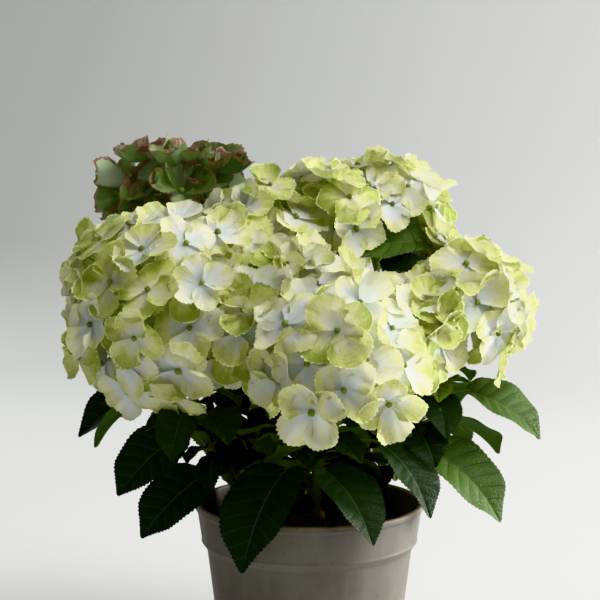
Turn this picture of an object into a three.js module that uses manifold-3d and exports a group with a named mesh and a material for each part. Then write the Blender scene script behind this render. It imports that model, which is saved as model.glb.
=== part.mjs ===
/**
 * A potted hydrangea. Three rooted stems stand in a plastic nursery pot. Each forks into two canes, and
 * each cane carries a leafy shoot and one round flower head: five fresh white and lime heads, and one old
 * head that has turned green and wine red.
 *
 * Units are millimetres. +Z is up and -Y is the front. The origin is the centre of the pot's underside.
 */
import * as THREE from "three";
import { mergeVertices } from "three/addons/utils/BufferGeometryUtils.js";
import Module from "manifold-3d";

const wasm = await Module();
wasm.setup();
const { Manifold, Mesh: SolidMesh } = wasm;

const { degToRad, lerp } = THREE.MathUtils;
const FULL_TURN = 2 * Math.PI;
const GOLDEN_ANGLE = Math.PI * (3 - Math.sqrt(5));
const GAP = 0.3; // clearance between two solids that meet
const CLEAR = 0.5; // the least distance from a leaf or floret to any other node
const SIZES = [1, 0.84, 0.7]; // the shares of its full size that a leaf or floret may have
const TINY = 0.01; // edges shorter than this are taken out of a union

// --------------------------------------------------------------------------------------------------- sizes

const POT = {
  height: 150,
  rim: 85, // outer radius of the rolled lip
  base: 62, // outer radius at the foot
  wall: 1.8,
  floor: 2.6,
  lip: 4, // height of the rolled lip
  lipOut: 1.6, // how far the lip stands out from the collar
  collar: 34, // height of the collar, lip included
  collarFlare: 3, // how much wider the collar is under the lip than at its foot
  step: 4, // how far the collar's foot stands out from the body
  stepRise: 7, // height of the slope between them
  bevel: 1.5, // at the foot
  segments: 32,
  drains: 6, // drain holes in the floor
  drainRadius: 5,
  drainRing: 42,
};

// The potting soil: its height at the middle and at the wall, and the radius of its flat top.
const SOIL = { top: 126, edge: 123, crown: 64 };

// The rooted stems: their height to the fork, the share of it that the root flare takes, their radii at
// the ground, over the flare, at the fork and of the knot there, and the length of the prongs that carry
// the canes. Each has the places of its foot and of its fork.
const STEM = { height: 21, flare: 0.35, ground: 8.2, waist: 5.4, fork: 4.6, knot: 5, prong: 10 };
const ROOTS = {
  left: { foot: [-40, 5], fork: [-44, 2] },
  centre: { foot: [7, -10], fork: [6, -13] },
  right: { foot: [37, 9], fork: [41, 7] },
};

// Radii of a cane where it leaves the stem, where its leaves begin, and at its top and the flower stalk.
const CANE = { foot: 3.6, leafy: 3.2, top: 2.5, sides: 7 };
const STALK_FROM = 0.9; // the share of a cane's path at which the flower stalk takes over from the shoot

// Each flower head: its centre, how far its florets reach across and along its axis, the way it faces,
// how many florets it has, the rooted stem and the bend of its cane, the share of the cane's path where its
// leaves begin, and its leaves. A leaf has its place on the path, its compass turn in degrees (0 is right,
// -90 is the front), the length and the slope of its blade, and where they aren't the usual ones the length
// of its stalk, how far its blade swings from the stalk, and how far its blade rolls about its own length.
const HEADS = {
  left: {
    centre: [-106, -40, 298],
    across: 75,
    tall: 76,
    faces: [-0.42, -0.3, 0.86],
    florets: 26,
    root: "left",
    bend: [-88, -22, 200],
    leafy: 0.17,
    seed: 11,
    leaves: [
      { at: 0.24, turn: -151, length: 71, slope: -39, roll: -36 },
      { at: 0.24, turn: 40, length: 80, slope: -34 },
      { at: 0.54, turn: -150, length: 70, slope: -38, roll: -36 },
      { at: 0.54, turn: 24, length: 66, slope: -28 },
      { at: 0.62, turn: -70, length: 60, slope: -14 },
      { at: 0.62, turn: 112, length: 78, slope: -34 },
      { at: 0.76, turn: -104, length: 52, slope: -46 },
      { at: 0.8, turn: 172, length: 76, slope: -38 },
    ],
  },
  front: {
    centre: [19, -75, 271],
    across: 71,
    tall: 62,
    faces: [0.1, -0.48, 0.87],
    florets: 24,
    root: "centre",
    bend: [2, -40, 190],
    leafy: 0.2,
    seed: 23,
    leaves: [
      { at: 0.38, turn: -155, length: 94, slope: -44, stalk: 23, swing: 36 },
      { at: 0.38, turn: -80, length: 78, slope: -37, stalk: 15, swing: 26 },
      { at: 0.55, turn: 2, length: 70, slope: -46, stalk: 44, swing: -46 },
      { at: 0.55, turn: 170, length: 60, slope: -8 },
      { at: 0.6, turn: -20, length: 54, slope: -8, stalk: 24, roll: 20 },
      { at: 0.76, turn: 60, length: 60, slope: -20 },
    ],
  },
  right: {
    centre: [116, 5, 297],
    across: 56,
    tall: 51,
    faces: [0.42, -0.16, 0.89],
    florets: 18,
    root: "right",
    bend: [95, 2, 218],
    leafy: 0.17,
    seed: 37,
    leaves: [
      { at: 0.37, turn: -25, length: 82, slope: -44, stalk: 18, swing: 9, roll: 30 },
      { at: 0.48, turn: 24, length: 70, slope: -28 },
      { at: 0.5, turn: -100, length: 48, slope: -30 },
      { at: 0.64, turn: 3, length: 70, slope: -33, stalk: 30, swing: -9, roll: 26 },
      { at: 0.66, turn: -70, length: 50, slope: -30, stalk: 12, swing: -13 },
      { at: 0.66, turn: 66, length: 60, slope: -24 },
      { at: 0.82, turn: 120, length: 60, slope: -20 },
    ],
  },
  top: {
    centre: [60, 85, 357],
    across: 65,
    tall: 59,
    faces: [0.18, 0.2, 0.96],
    florets: 21,
    root: "right",
    bend: [52, 62, 235],
    leafy: 0.2,
    seed: 41,
    leaves: [
      { at: 0.28, turn: 72, length: 88, slope: -42 },
      { at: 0.3, turn: -108, length: 60, slope: -28 },
      { at: 0.42, turn: 24, length: 90, slope: -38 },
      { at: 0.42, turn: 165, length: 74, slope: -30 },
      { at: 0.58, turn: 108, length: 90, slope: -38 },
      { at: 0.74, turn: 50, length: 82, slope: -34 },
      { at: 0.74, turn: -150, length: 60, slope: -16 },
      { at: 0.86, turn: -126, length: 62, slope: -2 },
      { at: 0.84, turn: -50, length: 58, slope: 2 },
    ],
  },
  middle: {
    centre: [-31, 25, 347],
    across: 53,
    tall: 54,
    faces: [-0.08, -0.12, 0.99],
    florets: 17,
    root: "centre",
    bend: [-24, 20, 220],
    leafy: 0.2,
    seed: 53,
    leaves: [
      { at: 0.3, turn: 104, length: 84, slope: -36 },
      { at: 0.46, turn: 170, length: 78, slope: -28 },
      { at: 0.46, turn: 10, length: 66, slope: -24 },
      { at: 0.62, turn: 80, length: 82, slope: -30 },
      { at: 0.62, turn: -96, length: 62, slope: -20 },
      { at: 0.78, turn: 128, length: 74, slope: -28 },
    ],
  },
  antique: {
    centre: [-104, 90, 376],
    across: 59,
    tall: 46,
    faces: [-0.3, 0.2, 0.93],
    florets: 17,
    sepals: "old",
    root: "left",
    bend: [-95, 62, 220],
    leafy: 0.2,
    seed: 67,
    leaves: [
      { at: 0.3, turn: 132, length: 84, slope: -40 },
      { at: 0.42, turn: -166, length: 94, slope: -26, stalk: 20, roll: -26 },
      { at: 0.42, turn: 60, length: 86, slope: -38 },
      { at: 0.58, turn: 110, length: 88, slope: -38 },
      { at: 0.58, turn: -130, length: 60, slope: -26 },
      { at: 0.74, turn: 176, length: 84, slope: -42 },
      { at: 0.74, turn: 20, length: 72, slope: -20 },
      { at: 0.88, turn: 80, length: 70, slope: -36 },
    ],
  },
};

// Florets: four broad sepals each, set on a dome that ends in a skirt below the head's widest place.
const FLORET = {
  reach: 25, // from its middle to a sepal's tip
  notch: 0.64, // how far out the edge runs between two sepals, as a share of the reach
  body: 2.2, // thickness at its middle
  cup: [-0.02, 0.24], // height of a sepal's tips over its middle, as a share of the reach
  share: [0.88, 1], // reach of one sepal, as a share of the floret's
  tilt: degToRad(9),
  inset: 5, // how deep the floret's middle sits inside the head's reach
  stalk: 1.1,
  root: 0.4, // where its stalk starts, as a share of the way from the head's centre
};
const SKIRT = degToRad(125); // how far round from its top a head has florets
const CROWDED = 0.9; // no floret sits deeper than this in another head, where 1 is on its reach
const CORE = 0.72; // size of the solid heart of a head, as a share of its reach
const SEAT = 0.88; // where the stalk ends in the heart, as a share of the way down from its middle

// Leaves: a stalk, then a blade that bends over along a circular arc.
const LEAF = {
  width: 0.62, // share of its length
  body: 0.018, // thickness at the midrib, as a share of its length
  fold: 0.12, // how far its edges stand over the midrib, as a share of its width
  stalk: 17,
  stalkRadius: 1.3,
  stalkLift: 26, // how much steeper the stalk rises than the foot of the blade, in degrees
  bend: 27, // how far the slope of its foot and of its tip differ from the slope of the blade, in degrees
  // Share of the length, and half width as a share of the width, where the blade has its corners.
  corners: [
    { along: 0.3, half: 0.48 },
    { along: 0.68, half: 0.37 },
  ],
};

const COLOURS = {
  plastic: { color: 0x8d877d, roughness: 0.62 },
  soil: { color: 0x17110c, roughness: 0.95 },
  bark: { color: 0x5d5236, roughness: 0.85 },
  cane: { color: 0x55632a, roughness: 0.6 },
  leaf: { color: 0x223a19, roughness: 0.45 },
  fresh: { color: 0xd6dba6, roughness: 0.7 },
  old: { color: 0x4a4a26, roughness: 0.75 },
};

// ------------------------------------------------------------------------------------------------ geometry

/** A seeded row of even numbers from 0 to 1, so that every build is the same. */
class Dice {
  constructor(seed) {
    this.state = seed;
  }
  next() {
    this.state = (this.state * 48271) % 2147483647;
    return this.state / 2147483647;
  }
  between(low, high) {
    return lerp(low, high, this.next());
  }
}

/** The solid that a closed geometry bounds. */
function solidOf(geometry) {
  const bare = new THREE.BufferGeometry();
  bare.setAttribute("position", geometry.getAttribute("position"));
  bare.setIndex(geometry.index);
  const merged = mergeVertices(bare, 1e-4);
  return new Manifold(
    new SolidMesh({
      numProp: 3,
      vertProperties: new Float32Array(merged.attributes.position.array),
      triVerts: new Uint32Array(merged.index.array),
    }),
  );
}

/** A three.js geometry with the faces of a solid. */
function geometryOf(solid) {
  const { vertProperties, triVerts } = solid.getMesh();
  const geometry = new THREE.BufferGeometry();
  geometry.setAttribute("position", new THREE.BufferAttribute(vertProperties, 3));
  geometry.setIndex(new THREE.BufferAttribute(triVerts, 1));
  geometry.computeVertexNormals();
  return geometry;
}

/** The largest body of a union, without any scrap that ended up loose. */
function fused(solids) {
  const bodies = Manifold.union(solids).simplify(TINY).decompose();
  return bodies.reduce((a, b) => (a.volume() > b.volume() ? a : b));
}

/** Moves each vertex of a geometry to where place() puts it. */
function reshape(geometry, place) {
  const position = geometry.getAttribute("position");
  const vertex = new THREE.Vector3();
  for (let i = 0; i < position.count; i++) {
    place(vertex.fromBufferAttribute(position, i));
    position.setXYZ(i, vertex.x, vertex.y, vertex.z);
  }
  return geometry;
}

/** Turns +Y to a normal, with a twist about it. */
function facing(normal, twist) {
  const guide = Math.abs(normal.z) < 0.9 ? new THREE.Vector3(0, 0, 1) : new THREE.Vector3(1, 0, 0);
  const side = new THREE.Vector3().crossVectors(normal, guide).normalize().applyAxisAngle(normal, twist);
  return new THREE.Matrix4().makeBasis(side, normal, new THREE.Vector3().crossVectors(side, normal));
}

/** A round limb along a curve, between two shares of its length, with a radius for each share of itself. */
function limb(curve, from, to, radiusAt, sides = CANE.sides, rings = 5) {
  const across = new THREE.Vector3(0, 1, 0);
  return reshape(new THREE.CylinderGeometry(1, 1, 1, sides, rings), (v) => {
    const share = v.y + 0.5;
    const at = lerp(from, to, share);
    const tangent = curve.getTangentAt(at);
    const side = new THREE.Vector3().crossVectors(across, tangent).normalize();
    const other = new THREE.Vector3().crossVectors(side, tangent);
    const radius = radiusAt(share);
    const [x, z] = [v.x * radius, v.z * radius];
    v.copy(curve.getPointAt(at)).addScaledVector(side, x).addScaledVector(other, z);
  });
}

/** A straight limb between two points. */
function rod(from, to, radius, sides = 3) {
  return limb(new THREE.LineCurve3(from, to), 0, 1, () => radius, sides, 1);
}

// ----------------------------------------------------------------------------------------------------- pot

/** A lathe profile from [radius, height] pairs, listed upwards along the outside. */
function turned(profile, segments) {
  const points = profile.map(([radius, z]) => new THREE.Vector2(radius, z));
  return new THREE.LatheGeometry(points, segments).rotateX(Math.PI / 2);
}

const SHOULDER = POT.height - POT.collar; // height at which the body ends
const COLLAR_TOP = POT.rim - POT.lipOut;
const COLLAR_FOOT = COLLAR_TOP - POT.collarFlare;
const WAIST = COLLAR_FOOT - POT.step;

/** The inside of the pot as [radius, height] pairs, from its floor up. */
const BORE = [
  [POT.base - POT.wall, POT.floor],
  [WAIST - POT.wall, SHOULDER - 1],
  [COLLAR_FOOT - POT.wall, SHOULDER + POT.stepRise],
  [COLLAR_TOP - POT.wall, POT.height],
];

/** The nursery pot: a tapered body, a step out to the collar, a rolled lip and drain holes in the floor. */
function pot() {
  const shell = turned(
    [
      [0, 0],
      [POT.base - POT.bevel, 0],
      [POT.base, POT.bevel],
      [WAIST, SHOULDER],
      [COLLAR_FOOT, SHOULDER + POT.stepRise],
      [COLLAR_TOP, POT.height - POT.lip - 2],
      [POT.rim, POT.height - POT.lip],
      [POT.rim, POT.height - 1],
      [POT.rim - 1, POT.height],
      ...BORE.toReversed(),
      [0, POT.floor],
    ],
    POT.segments,
  );
  const drains = Array.from({ length: POT.drains }, (_, i) => {
    const turn = (i / POT.drains) * FULL_TURN;
    const hole = new THREE.CylinderGeometry(POT.drainRadius, POT.drainRadius, 4 * POT.floor, 8);
    hole.rotateX(Math.PI / 2);
    return solidOf(hole.translate(POT.drainRing * Math.cos(turn), POT.drainRing * Math.sin(turn), 0));
  });
  return solidOf(shell).subtract(Manifold.union(drains));
}

/** The radius of the pot's inside at a height. */
function boreAt(z) {
  const above = BORE.findIndex(([, top]) => z < top);
  const [[lowRadius, low], [highRadius, high]] = BORE.slice(above - 1, above + 1);
  return lerp(lowRadius, highRadius, (z - low) / (high - low));
}

/** The potting soil, which fills the pot to a little under its rim. */
function soil() {
  const heights = [POT.floor + GAP, SHOULDER - 1, SOIL.edge];
  return solidOf(
    turned(
      [[0, heights[0]], ...heights.map((z) => [boreAt(z) - GAP, z]), [SOIL.crown, SOIL.top], [0, SOIL.top]],
      POT.segments,
    ),
  );
}

// ----------------------------------------------------------------------------------------- stems and canes

const STAND = SOIL.top + GAP; // the height at which the stems stand

/** The unit vector in which a head faces. */
const facesOf = (head) => new THREE.Vector3(...head.faces).normalize();

/** The point in the underside of a head's heart where its stalk ends. */
function headFoot(head) {
  return new THREE.Vector3(...head.centre).addScaledVector(facesOf(head), -SEAT * CORE * head.tall);
}

/** The path of a cane, from the fork of its stem to the foot of its head. */
function canePath(head) {
  const fork = new THREE.Vector3(...ROOTS[head.root].fork, STAND + STEM.height);
  return new THREE.QuadraticBezierCurve3(fork, new THREE.Vector3(...head.bend), headFoot(head));
}

/** A rooted stem: flared at the soil, leaning to its fork, with a short prong towards each of its canes. */
function rootedStem(name) {
  const { foot, fork } = ROOTS[name];
  const top = new THREE.Vector3(...fork, STAND + STEM.height);
  const axis = new THREE.QuadraticBezierCurve3(
    new THREE.Vector3(...foot, STAND),
    new THREE.Vector3(...foot, STAND + STEM.height / 2),
    top,
  );
  const radiusAt = (share) =>
    share < STEM.flare
      ? lerp(STEM.ground, STEM.waist, Math.sqrt(share / STEM.flare))
      : lerp(STEM.waist, STEM.fork, share);
  const trunk = limb(axis, 0, 1, radiusAt, 9, 6);
  const knot = new THREE.IcosahedronGeometry(STEM.knot, 1).translate(...top.toArray());
  const prongs = Object.values(HEADS)
    .filter((head) => head.root === name)
    .map((head) => {
      const path = canePath(head);
      return limb(path, 0, STEM.prong / path.getLength(), () => CANE.foot, CANE.sides, 2);
    });
  return fused([trunk, knot, ...prongs].map(solidOf));
}

/** The leafless foot of a cane, from its prong to where its leaves begin. */
function caneFoot(head) {
  const path = canePath(head);
  const from = (STEM.prong + GAP) / path.getLength();
  return solidOf(limb(path, from, head.leafy, (share) => lerp(CANE.foot, CANE.leafy, share)));
}

// -------------------------------------------------------------------------------------------------- leaves

const MIDRIB = 6; // the number of a blade's first vertex inside its edge: the midrib nearest the stalk

/** A leaf blade from the origin out along +X, bent over about its middle. */
function blade(length) {
  const { width, body, fold, bend, corners } = LEAF;
  const [lift, dip] = [degToRad(bend), degToRad(-bend)];
  const arc = (along) => {
    // The place on a circular arc whose slope runs from lift to dip.
    const turn = dip - lift;
    const radius = length / turn;
    const pitch = lift + turn * along;
    return new THREE.Vector3(
      radius * (Math.sin(pitch) - Math.sin(lift)),
      0,
      -radius * (Math.cos(pitch) - Math.cos(lift)),
    );
  };
  const above = (along) => {
    const pitch = lift + (dip - lift) * along;
    return new THREE.Vector3(-Math.sin(pitch), 0, Math.cos(pitch));
  };
  const edge = ({ along, half }, side) =>
    arc(along)
      .addScaledVector(above(along), fold * width * length)
      .add(new THREE.Vector3(0, side * half * width * length, 0));
  const rib = ({ along }, side) => arc(along).addScaledVector(above(along), (side * body * length) / 2);
  const [near, far] = corners;
  const points = [
    arc(0),
    edge(near, -1),
    edge(far, -1),
    arc(1),
    edge(far, 1),
    edge(near, 1),
    rib(near, 1),
    rib(far, 1),
    rib(near, -1),
    rib(far, -1),
  ];
  const upper = [
    [0, 1, 6],
    [1, 2, 7],
    [1, 7, 6],
    [2, 3, 7],
    [3, 4, 7],
    [4, 5, 6],
    [4, 6, 7],
    [5, 0, 6],
  ];
  const lower = upper.map((face) => face.map((i) => (i < MIDRIB ? i : i + 2)).reverse());
  const geometry = new THREE.BufferGeometry().setFromPoints(points);
  geometry.setIndex([...upper, ...lower].flat());
  return geometry;
}

/** One leaf of a shoot, with its stalk rooted in the middle of the shoot. */
function leaf(path, { at, turn, length, slope, stalk = LEAF.stalk, swing = 0, roll = 0 }, size) {
  const root = path.getPointAt(at);
  const rise = degToRad(slope + LEAF.bend + LEAF.stalkLift);
  const heading = degToRad(turn);
  const out = new THREE.Vector3(Math.cos(heading), Math.sin(heading), Math.tan(rise)).normalize();
  const heel = root.clone().addScaledVector(out, stalk);
  const plate = blade(length * size).rotateX(degToRad(roll)).rotateY(degToRad(-slope));
  plate.rotateZ(degToRad(turn + swing)).translate(...heel.toArray());
  const midrib = new THREE.Vector3().fromBufferAttribute(plate.getAttribute("position"), MIDRIB);
  return fused([rod(root, heel.lerp(midrib, 0.5), LEAF.stalkRadius), plate].map(solidOf));
}

/** The bare shoot that carries a head's leaves, from the cane up to the flower stalk. */
function bareShoot(head) {
  const path = canePath(head);
  const gap = GAP / path.getLength();
  const radiusAt = (share) => lerp(CANE.leafy, CANE.top, share);
  return solidOf(limb(path, head.leafy + gap, STALK_FROM - gap, radiusAt, CANE.sides, 9));
}

/** A bare shoot with its leaves, each as large as it can be clear of every solid placed before. */
function leafyShoot(head, shoot, placed) {
  const path = canePath(head);
  const leaves = head.leaves.flatMap((row) => largestClear((size) => leaf(path, row, size), placed));
  return fused([shoot, ...leaves]);
}

// ------------------------------------------------------------------------------------------------- florets

/** One floret of four sepals, facing +Y from the origin: a lens whose edge runs round the sepals. */
function floretShape(reach, lift, share) {
  const { notch, body } = FLORET;
  const lens = new THREE.LatheGeometry(
    [new THREE.Vector2(0, -body / 2), new THREE.Vector2(1, 0), new THREE.Vector2(0, body / 2)],
    12,
  );
  return reshape(lens, (v) => {
    if (Math.hypot(v.x, v.z) < 0.5) return;
    // Of three corners, one is the notch between two sepals, and the other two are a sepal's shoulders.
    const corner = Math.round((Math.atan2(v.x, v.z) / FULL_TURN) * 12 + 12) % 12;
    const sepal = Math.floor(corner / 3);
    const isNotch = corner % 3 === 0;
    const radius = isNotch ? reach * notch : reach * share[sepal];
    v.set(v.x * radius, isNotch ? 0 : reach * lift[sepal], v.z * radius);
  });
}

/** How far a point lies from a head's centre, where 1 is on the head's reach. */
function depthIn(head, point) {
  const from = point.clone().sub(new THREE.Vector3(...head.centre));
  const along = from.dot(facesOf(head));
  const beside = Math.sqrt(Math.max(0, from.lengthSq() - along * along));
  return Math.hypot(along / head.tall, beside / head.across);
}

/** The sites of a head's florets, spread over its dome by the golden angle, with their chance shapes. */
function floretSites(head, dice) {
  const basis = facing(facesOf(head), 0);
  const centre = new THREE.Vector3(...head.centre);
  const [across, tall] = [head.across - FLORET.inset, head.tall - FLORET.inset];
  const others = Object.values(HEADS).filter((other) => other !== head);
  const sites = [];
  for (let i = 0; i < head.florets; i++) {
    const cosine = 1 - ((i + 0.5) / head.florets) * (1 - Math.cos(SKIRT));
    const sine = Math.sqrt(1 - cosine * cosine);
    const turn = i * GOLDEN_ANGLE + head.seed;
    const [x, z] = [sine * Math.cos(turn), sine * Math.sin(turn)];
    const place = new THREE.Vector3(x * across, cosine * tall, z * across).applyMatrix4(basis).add(centre);
    const normal = new THREE.Vector3(x / across, cosine / tall, z / across).applyMatrix4(basis).normalize();
    const tilt = new THREE.Vector3(dice.between(-1, 1), dice.between(-1, 1), dice.between(-1, 1));
    normal.addScaledVector(tilt, Math.tan(FLORET.tilt)).normalize();
    const twist = dice.between(0, FULL_TURN);
    const lift = Array.from({ length: 4 }, () => dice.between(...FLORET.cup));
    const share = Array.from({ length: 4 }, () => dice.between(...FLORET.share));
    if (others.every((other) => depthIn(other, place) > CROWDED)) {
      sites.push({ place, normal, twist, lift, share });
    }
  }
  return sites;
}

/** A flower head: its stalk, its solid heart, and its florets, each as large as it can be and clear. */
function flowerHead(head, placed) {
  const dice = new Dice(head.seed);
  const path = canePath(head);
  const centre = new THREE.Vector3(...head.centre);
  const heart = new THREE.IcosahedronGeometry(1, 1)
    .scale(CORE * head.across, CORE * head.tall, CORE * head.across)
    .applyMatrix4(facing(facesOf(head), 0))
    .translate(...head.centre);
  const stalk = limb(path, STALK_FROM, 1, () => CANE.top, CANE.sides, 2);
  const florets = floretSites(head, dice).flatMap(({ place, normal, twist, lift, share }) => {
    const stem = rod(centre.clone().lerp(place, FLORET.root), place, FLORET.stalk);
    const floret = (size) => {
      const plate = floretShape(FLORET.reach * size, lift, share).applyMatrix4(facing(normal, twist));
      return fused([plate.translate(...place.toArray()), stem].map(solidOf));
    };
    return largestClear(floret, placed);
  });
  return fused([solidOf(heart), solidOf(stalk), ...florets]);
}

/** The solid that make() gives at the largest of the sizes that is clear of the rest, or none. */
function largestClear(make, placed) {
  return SIZES.map(make).filter((solid) => keepsClear(solid, placed)).slice(0, 1);
}

/** Whether a solid stays clear of all the solids placed before it. */
function keepsClear(solid, placed) {
  const box = solid.boundingBox();
  return [...placed.values()].every((other) => {
    const { min, max } = other.boundingBox();
    const apart = [0, 1, 2].some((k) => box.min[k] > max[k] + CLEAR || box.max[k] < min[k] - CLEAR);
    return apart || solid.minGap(other, 2 * CLEAR) > CLEAR;
  });
}

// ------------------------------------------------------------------------------------------------ assembly

const plant = new THREE.Group();
plant.name = "potted_hydrangea";

/** The solids placed so far, by node name. */
const placed = new Map();

/** Adds a solid to the plant as a named mesh with its own material. */
function place(name, solid, colour) {
  placed.set(name, solid);
  const material = new THREE.MeshStandardMaterial({ ...COLOURS[colour], metalness: 0, flatShading: true });
  const mesh = new THREE.Mesh(geometryOf(solid), material);
  mesh.name = name;
  plant.add(mesh);
}

place("pot", pot(), "plastic");
place("potting_soil", soil(), "soil");
for (const name of Object.keys(ROOTS)) place(`stem_${name}`, rootedStem(name), "bark");

const heads = Object.entries(HEADS);
for (const [name, head] of heads) place(`cane_${name}`, caneFoot(head), "cane");

// The bare shoots come first, so that no floret grows through one. They get their leaves last.
for (const [name, head] of heads) placed.set(`leafy_shoot_${name}`, bareShoot(head));
for (const [name, head] of heads) place(`bloom_${name}`, flowerHead(head, placed), head.sepals ?? "fresh");
for (const [name, head] of heads) {
  const node = `leafy_shoot_${name}`;
  const shoot = placed.get(node);
  placed.delete(node);
  place(node, leafyShoot(head, shoot, placed), "leaf");
}

export default plant;
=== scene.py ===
"""The looks of a potted mophead hydrangea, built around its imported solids.

Each mass of leaves and each flower head is grown again by the rule that its solid grew by, with finer
leaves, stalks and sepals inside the same reach. Lengths are millimetres inside the classes and become metres
where a mesh is made. +Z is up and -Y is the front of the plant.
"""

from __future__ import annotations

import logging
import math
from dataclasses import dataclass, field
from enum import Enum
from typing import Any, Callable, Iterable, Sequence

import bpy
import numpy as np
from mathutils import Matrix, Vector


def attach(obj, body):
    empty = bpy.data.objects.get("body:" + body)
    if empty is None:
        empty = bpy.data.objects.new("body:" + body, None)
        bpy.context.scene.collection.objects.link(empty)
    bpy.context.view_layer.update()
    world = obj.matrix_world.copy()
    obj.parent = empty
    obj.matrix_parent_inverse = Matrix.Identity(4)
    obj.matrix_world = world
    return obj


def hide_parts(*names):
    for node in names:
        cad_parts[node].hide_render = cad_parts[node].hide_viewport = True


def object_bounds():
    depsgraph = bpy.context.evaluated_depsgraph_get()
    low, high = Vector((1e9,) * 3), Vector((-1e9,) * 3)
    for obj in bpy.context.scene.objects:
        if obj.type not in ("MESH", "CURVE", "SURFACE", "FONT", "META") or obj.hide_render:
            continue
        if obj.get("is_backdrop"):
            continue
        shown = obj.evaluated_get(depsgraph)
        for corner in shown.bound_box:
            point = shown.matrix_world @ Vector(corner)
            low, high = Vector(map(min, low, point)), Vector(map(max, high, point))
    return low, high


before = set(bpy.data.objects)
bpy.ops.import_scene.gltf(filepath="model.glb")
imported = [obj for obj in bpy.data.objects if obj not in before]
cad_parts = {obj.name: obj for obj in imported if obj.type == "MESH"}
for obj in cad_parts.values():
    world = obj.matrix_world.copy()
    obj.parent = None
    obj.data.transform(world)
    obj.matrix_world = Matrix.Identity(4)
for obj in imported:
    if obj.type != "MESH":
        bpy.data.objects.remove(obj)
CAD_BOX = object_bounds()

log = logging.getLogger("hydrangea")

MM = 0.001
FULL_TURN = 2 * math.pi
GOLDEN_ANGLE = math.pi * (3 - math.sqrt(5))
WANE = 0.55  # how high each finer layer of waves is beside the one before
STAND = 126.3  # the height at which the stems stand
STEM_TOP = STAND + 21
HEART = 0.72  # reach of a head's heart, as a share of the head's own

Array = np.ndarray
Colour = tuple[float, float, float]


def rgb(red: int, green: int, blue: int) -> Colour:
    """A linear colour from screen values.

    Args:
        red: Screen value from 0 to 255.
        green: Screen value from 0 to 255.
        blue: Screen value from 0 to 255.

    Returns:
        The linear red, green and blue from 0 to 1.
    """

    def linear(value: int) -> float:
        """The linear value of one channel."""
        share = value / 255
        return share / 12.92 if share <= 0.04045 else ((share + 0.055) / 1.055) ** 2.4

    return linear(red), linear(green), linear(blue)


# --- numbers ---


class Dice:
    """The seeded row of even numbers from 0 to 1 that the solids are grown with."""

    factor = 48271
    modulus = 2147483647

    def __init__(self, seed: int) -> None:
        """Starts the row at a seed."""
        self.state = seed

    def next(self) -> float:
        """The next number from 0 to 1."""
        self.state = self.state * self.factor % self.modulus
        return self.state / self.modulus

    def between(self, low: float, high: float) -> float:
        """The next number, from low to high."""
        return low + (high - low) * self.next()

    def several(self, count: int, low: float, high: float) -> Array:
        """The next few numbers, from low to high."""
        return np.array([self.between(low, high) for _ in range(count)])


def unit(vector: Array | Sequence[float]) -> Array:
    """The vector at length 1."""
    vector = np.asarray(vector, float)
    return vector / np.linalg.norm(vector, axis=-1, keepdims=True)


def ease(low: float, high: float, value: Array | float) -> Array | float:
    """A smooth step from 0 at low to 1 at high."""
    share = np.clip((value - low) / (high - low), 0, 1)
    return share * share * (3 - 2 * share)


def spin(vector: Array, axis: Array, angle: float) -> Array:
    """A vector turned about a unit axis."""
    along = axis * np.dot(axis, vector)
    return along + (vector - along) * math.cos(angle) + np.cross(axis, vector) * math.sin(angle)


def facing(normal: Array, twist: float) -> Array:
    """The axes of a thing that faces along a normal, twisted about it.

    Args:
        normal: Unit vector that the thing's +Y turns to.
        twist: Turn about it in radians.

    Returns:
        Matrix whose columns are the thing's X, Y and Z.
    """
    guide = np.array([0.0, 0, 1]) if abs(normal[2]) < 0.9 else np.array([1.0, 0, 0])
    side = spin(unit(np.cross(normal, guide)), normal, twist)
    return np.stack([side, normal, np.cross(side, normal)], axis=1)


def ripple(points: Array, seed: float, pitch: float, octaves: int = 4) -> Array:
    """Soft seeded waves in space that don't repeat within the plant.

    Args:
        points: Places in millimetres, in the last axis.
        seed: Picks the waves.
        pitch: Length of the longest wave in millimetres.
        octaves: Number of layers, each twice as fine and WANE times as high.

    Returns:
        Heights of about -1 to 1.
    """
    total, height, scale = np.zeros(points.shape[:-1]), 1.0, FULL_TURN / pitch
    whole = 0.0
    for octave in range(octaves):
        chance = np.random.default_rng(int(seed * 977) + octave)
        for _ in range(3):
            heading = unit(chance.normal(size=3)) * scale * chance.uniform(0.7, 1.3)
            total += height * np.sin(points @ heading + chance.uniform(0, FULL_TURN)) / 2
        whole += height
        height, scale = height * WANE, scale * 2
    return total / whole


# --- meshes ---


def grid(rows: int, columns: int, flip: bool = False, wrap: bool = False) -> Array:
    """The four-sided faces of a grid of points.

    Args:
        rows: Points down the grid.
        columns: Points across it.
        flip: Whether the faces look the other way.
        wrap: Whether the last column joins the first.

    Returns:
        Point numbers of each face.
    """
    number = np.arange(rows * columns).reshape(rows, columns)
    if wrap:
        number = np.concatenate([number, number[:, :1]], axis=1)
    corners = [number[:-1, :-1], number[1:, :-1], number[1:, 1:], number[:-1, 1:]]
    faces = np.stack(corners, axis=-1).reshape(-1, 4)
    return faces[:, ::-1] if flip else faces


def caps(rows: int, sides: int) -> list[Array]:
    """The fans that close a wrapped grid at both ends, round two points that follow its own.

    Args:
        rows: Rings of the grid.
        sides: Points round it.

    Returns:
        Point numbers of the first ring's fan and of the last ring's.
    """
    ring = np.arange(sides)
    after = (ring + 1) % sides
    base = (rows - 1) * sides
    first, last = np.full(sides, rows * sides), np.full(sides, rows * sides + 1)
    return [np.stack([after, ring, first], 1), np.stack([ring + base, after + base, last], 1)]


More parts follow.
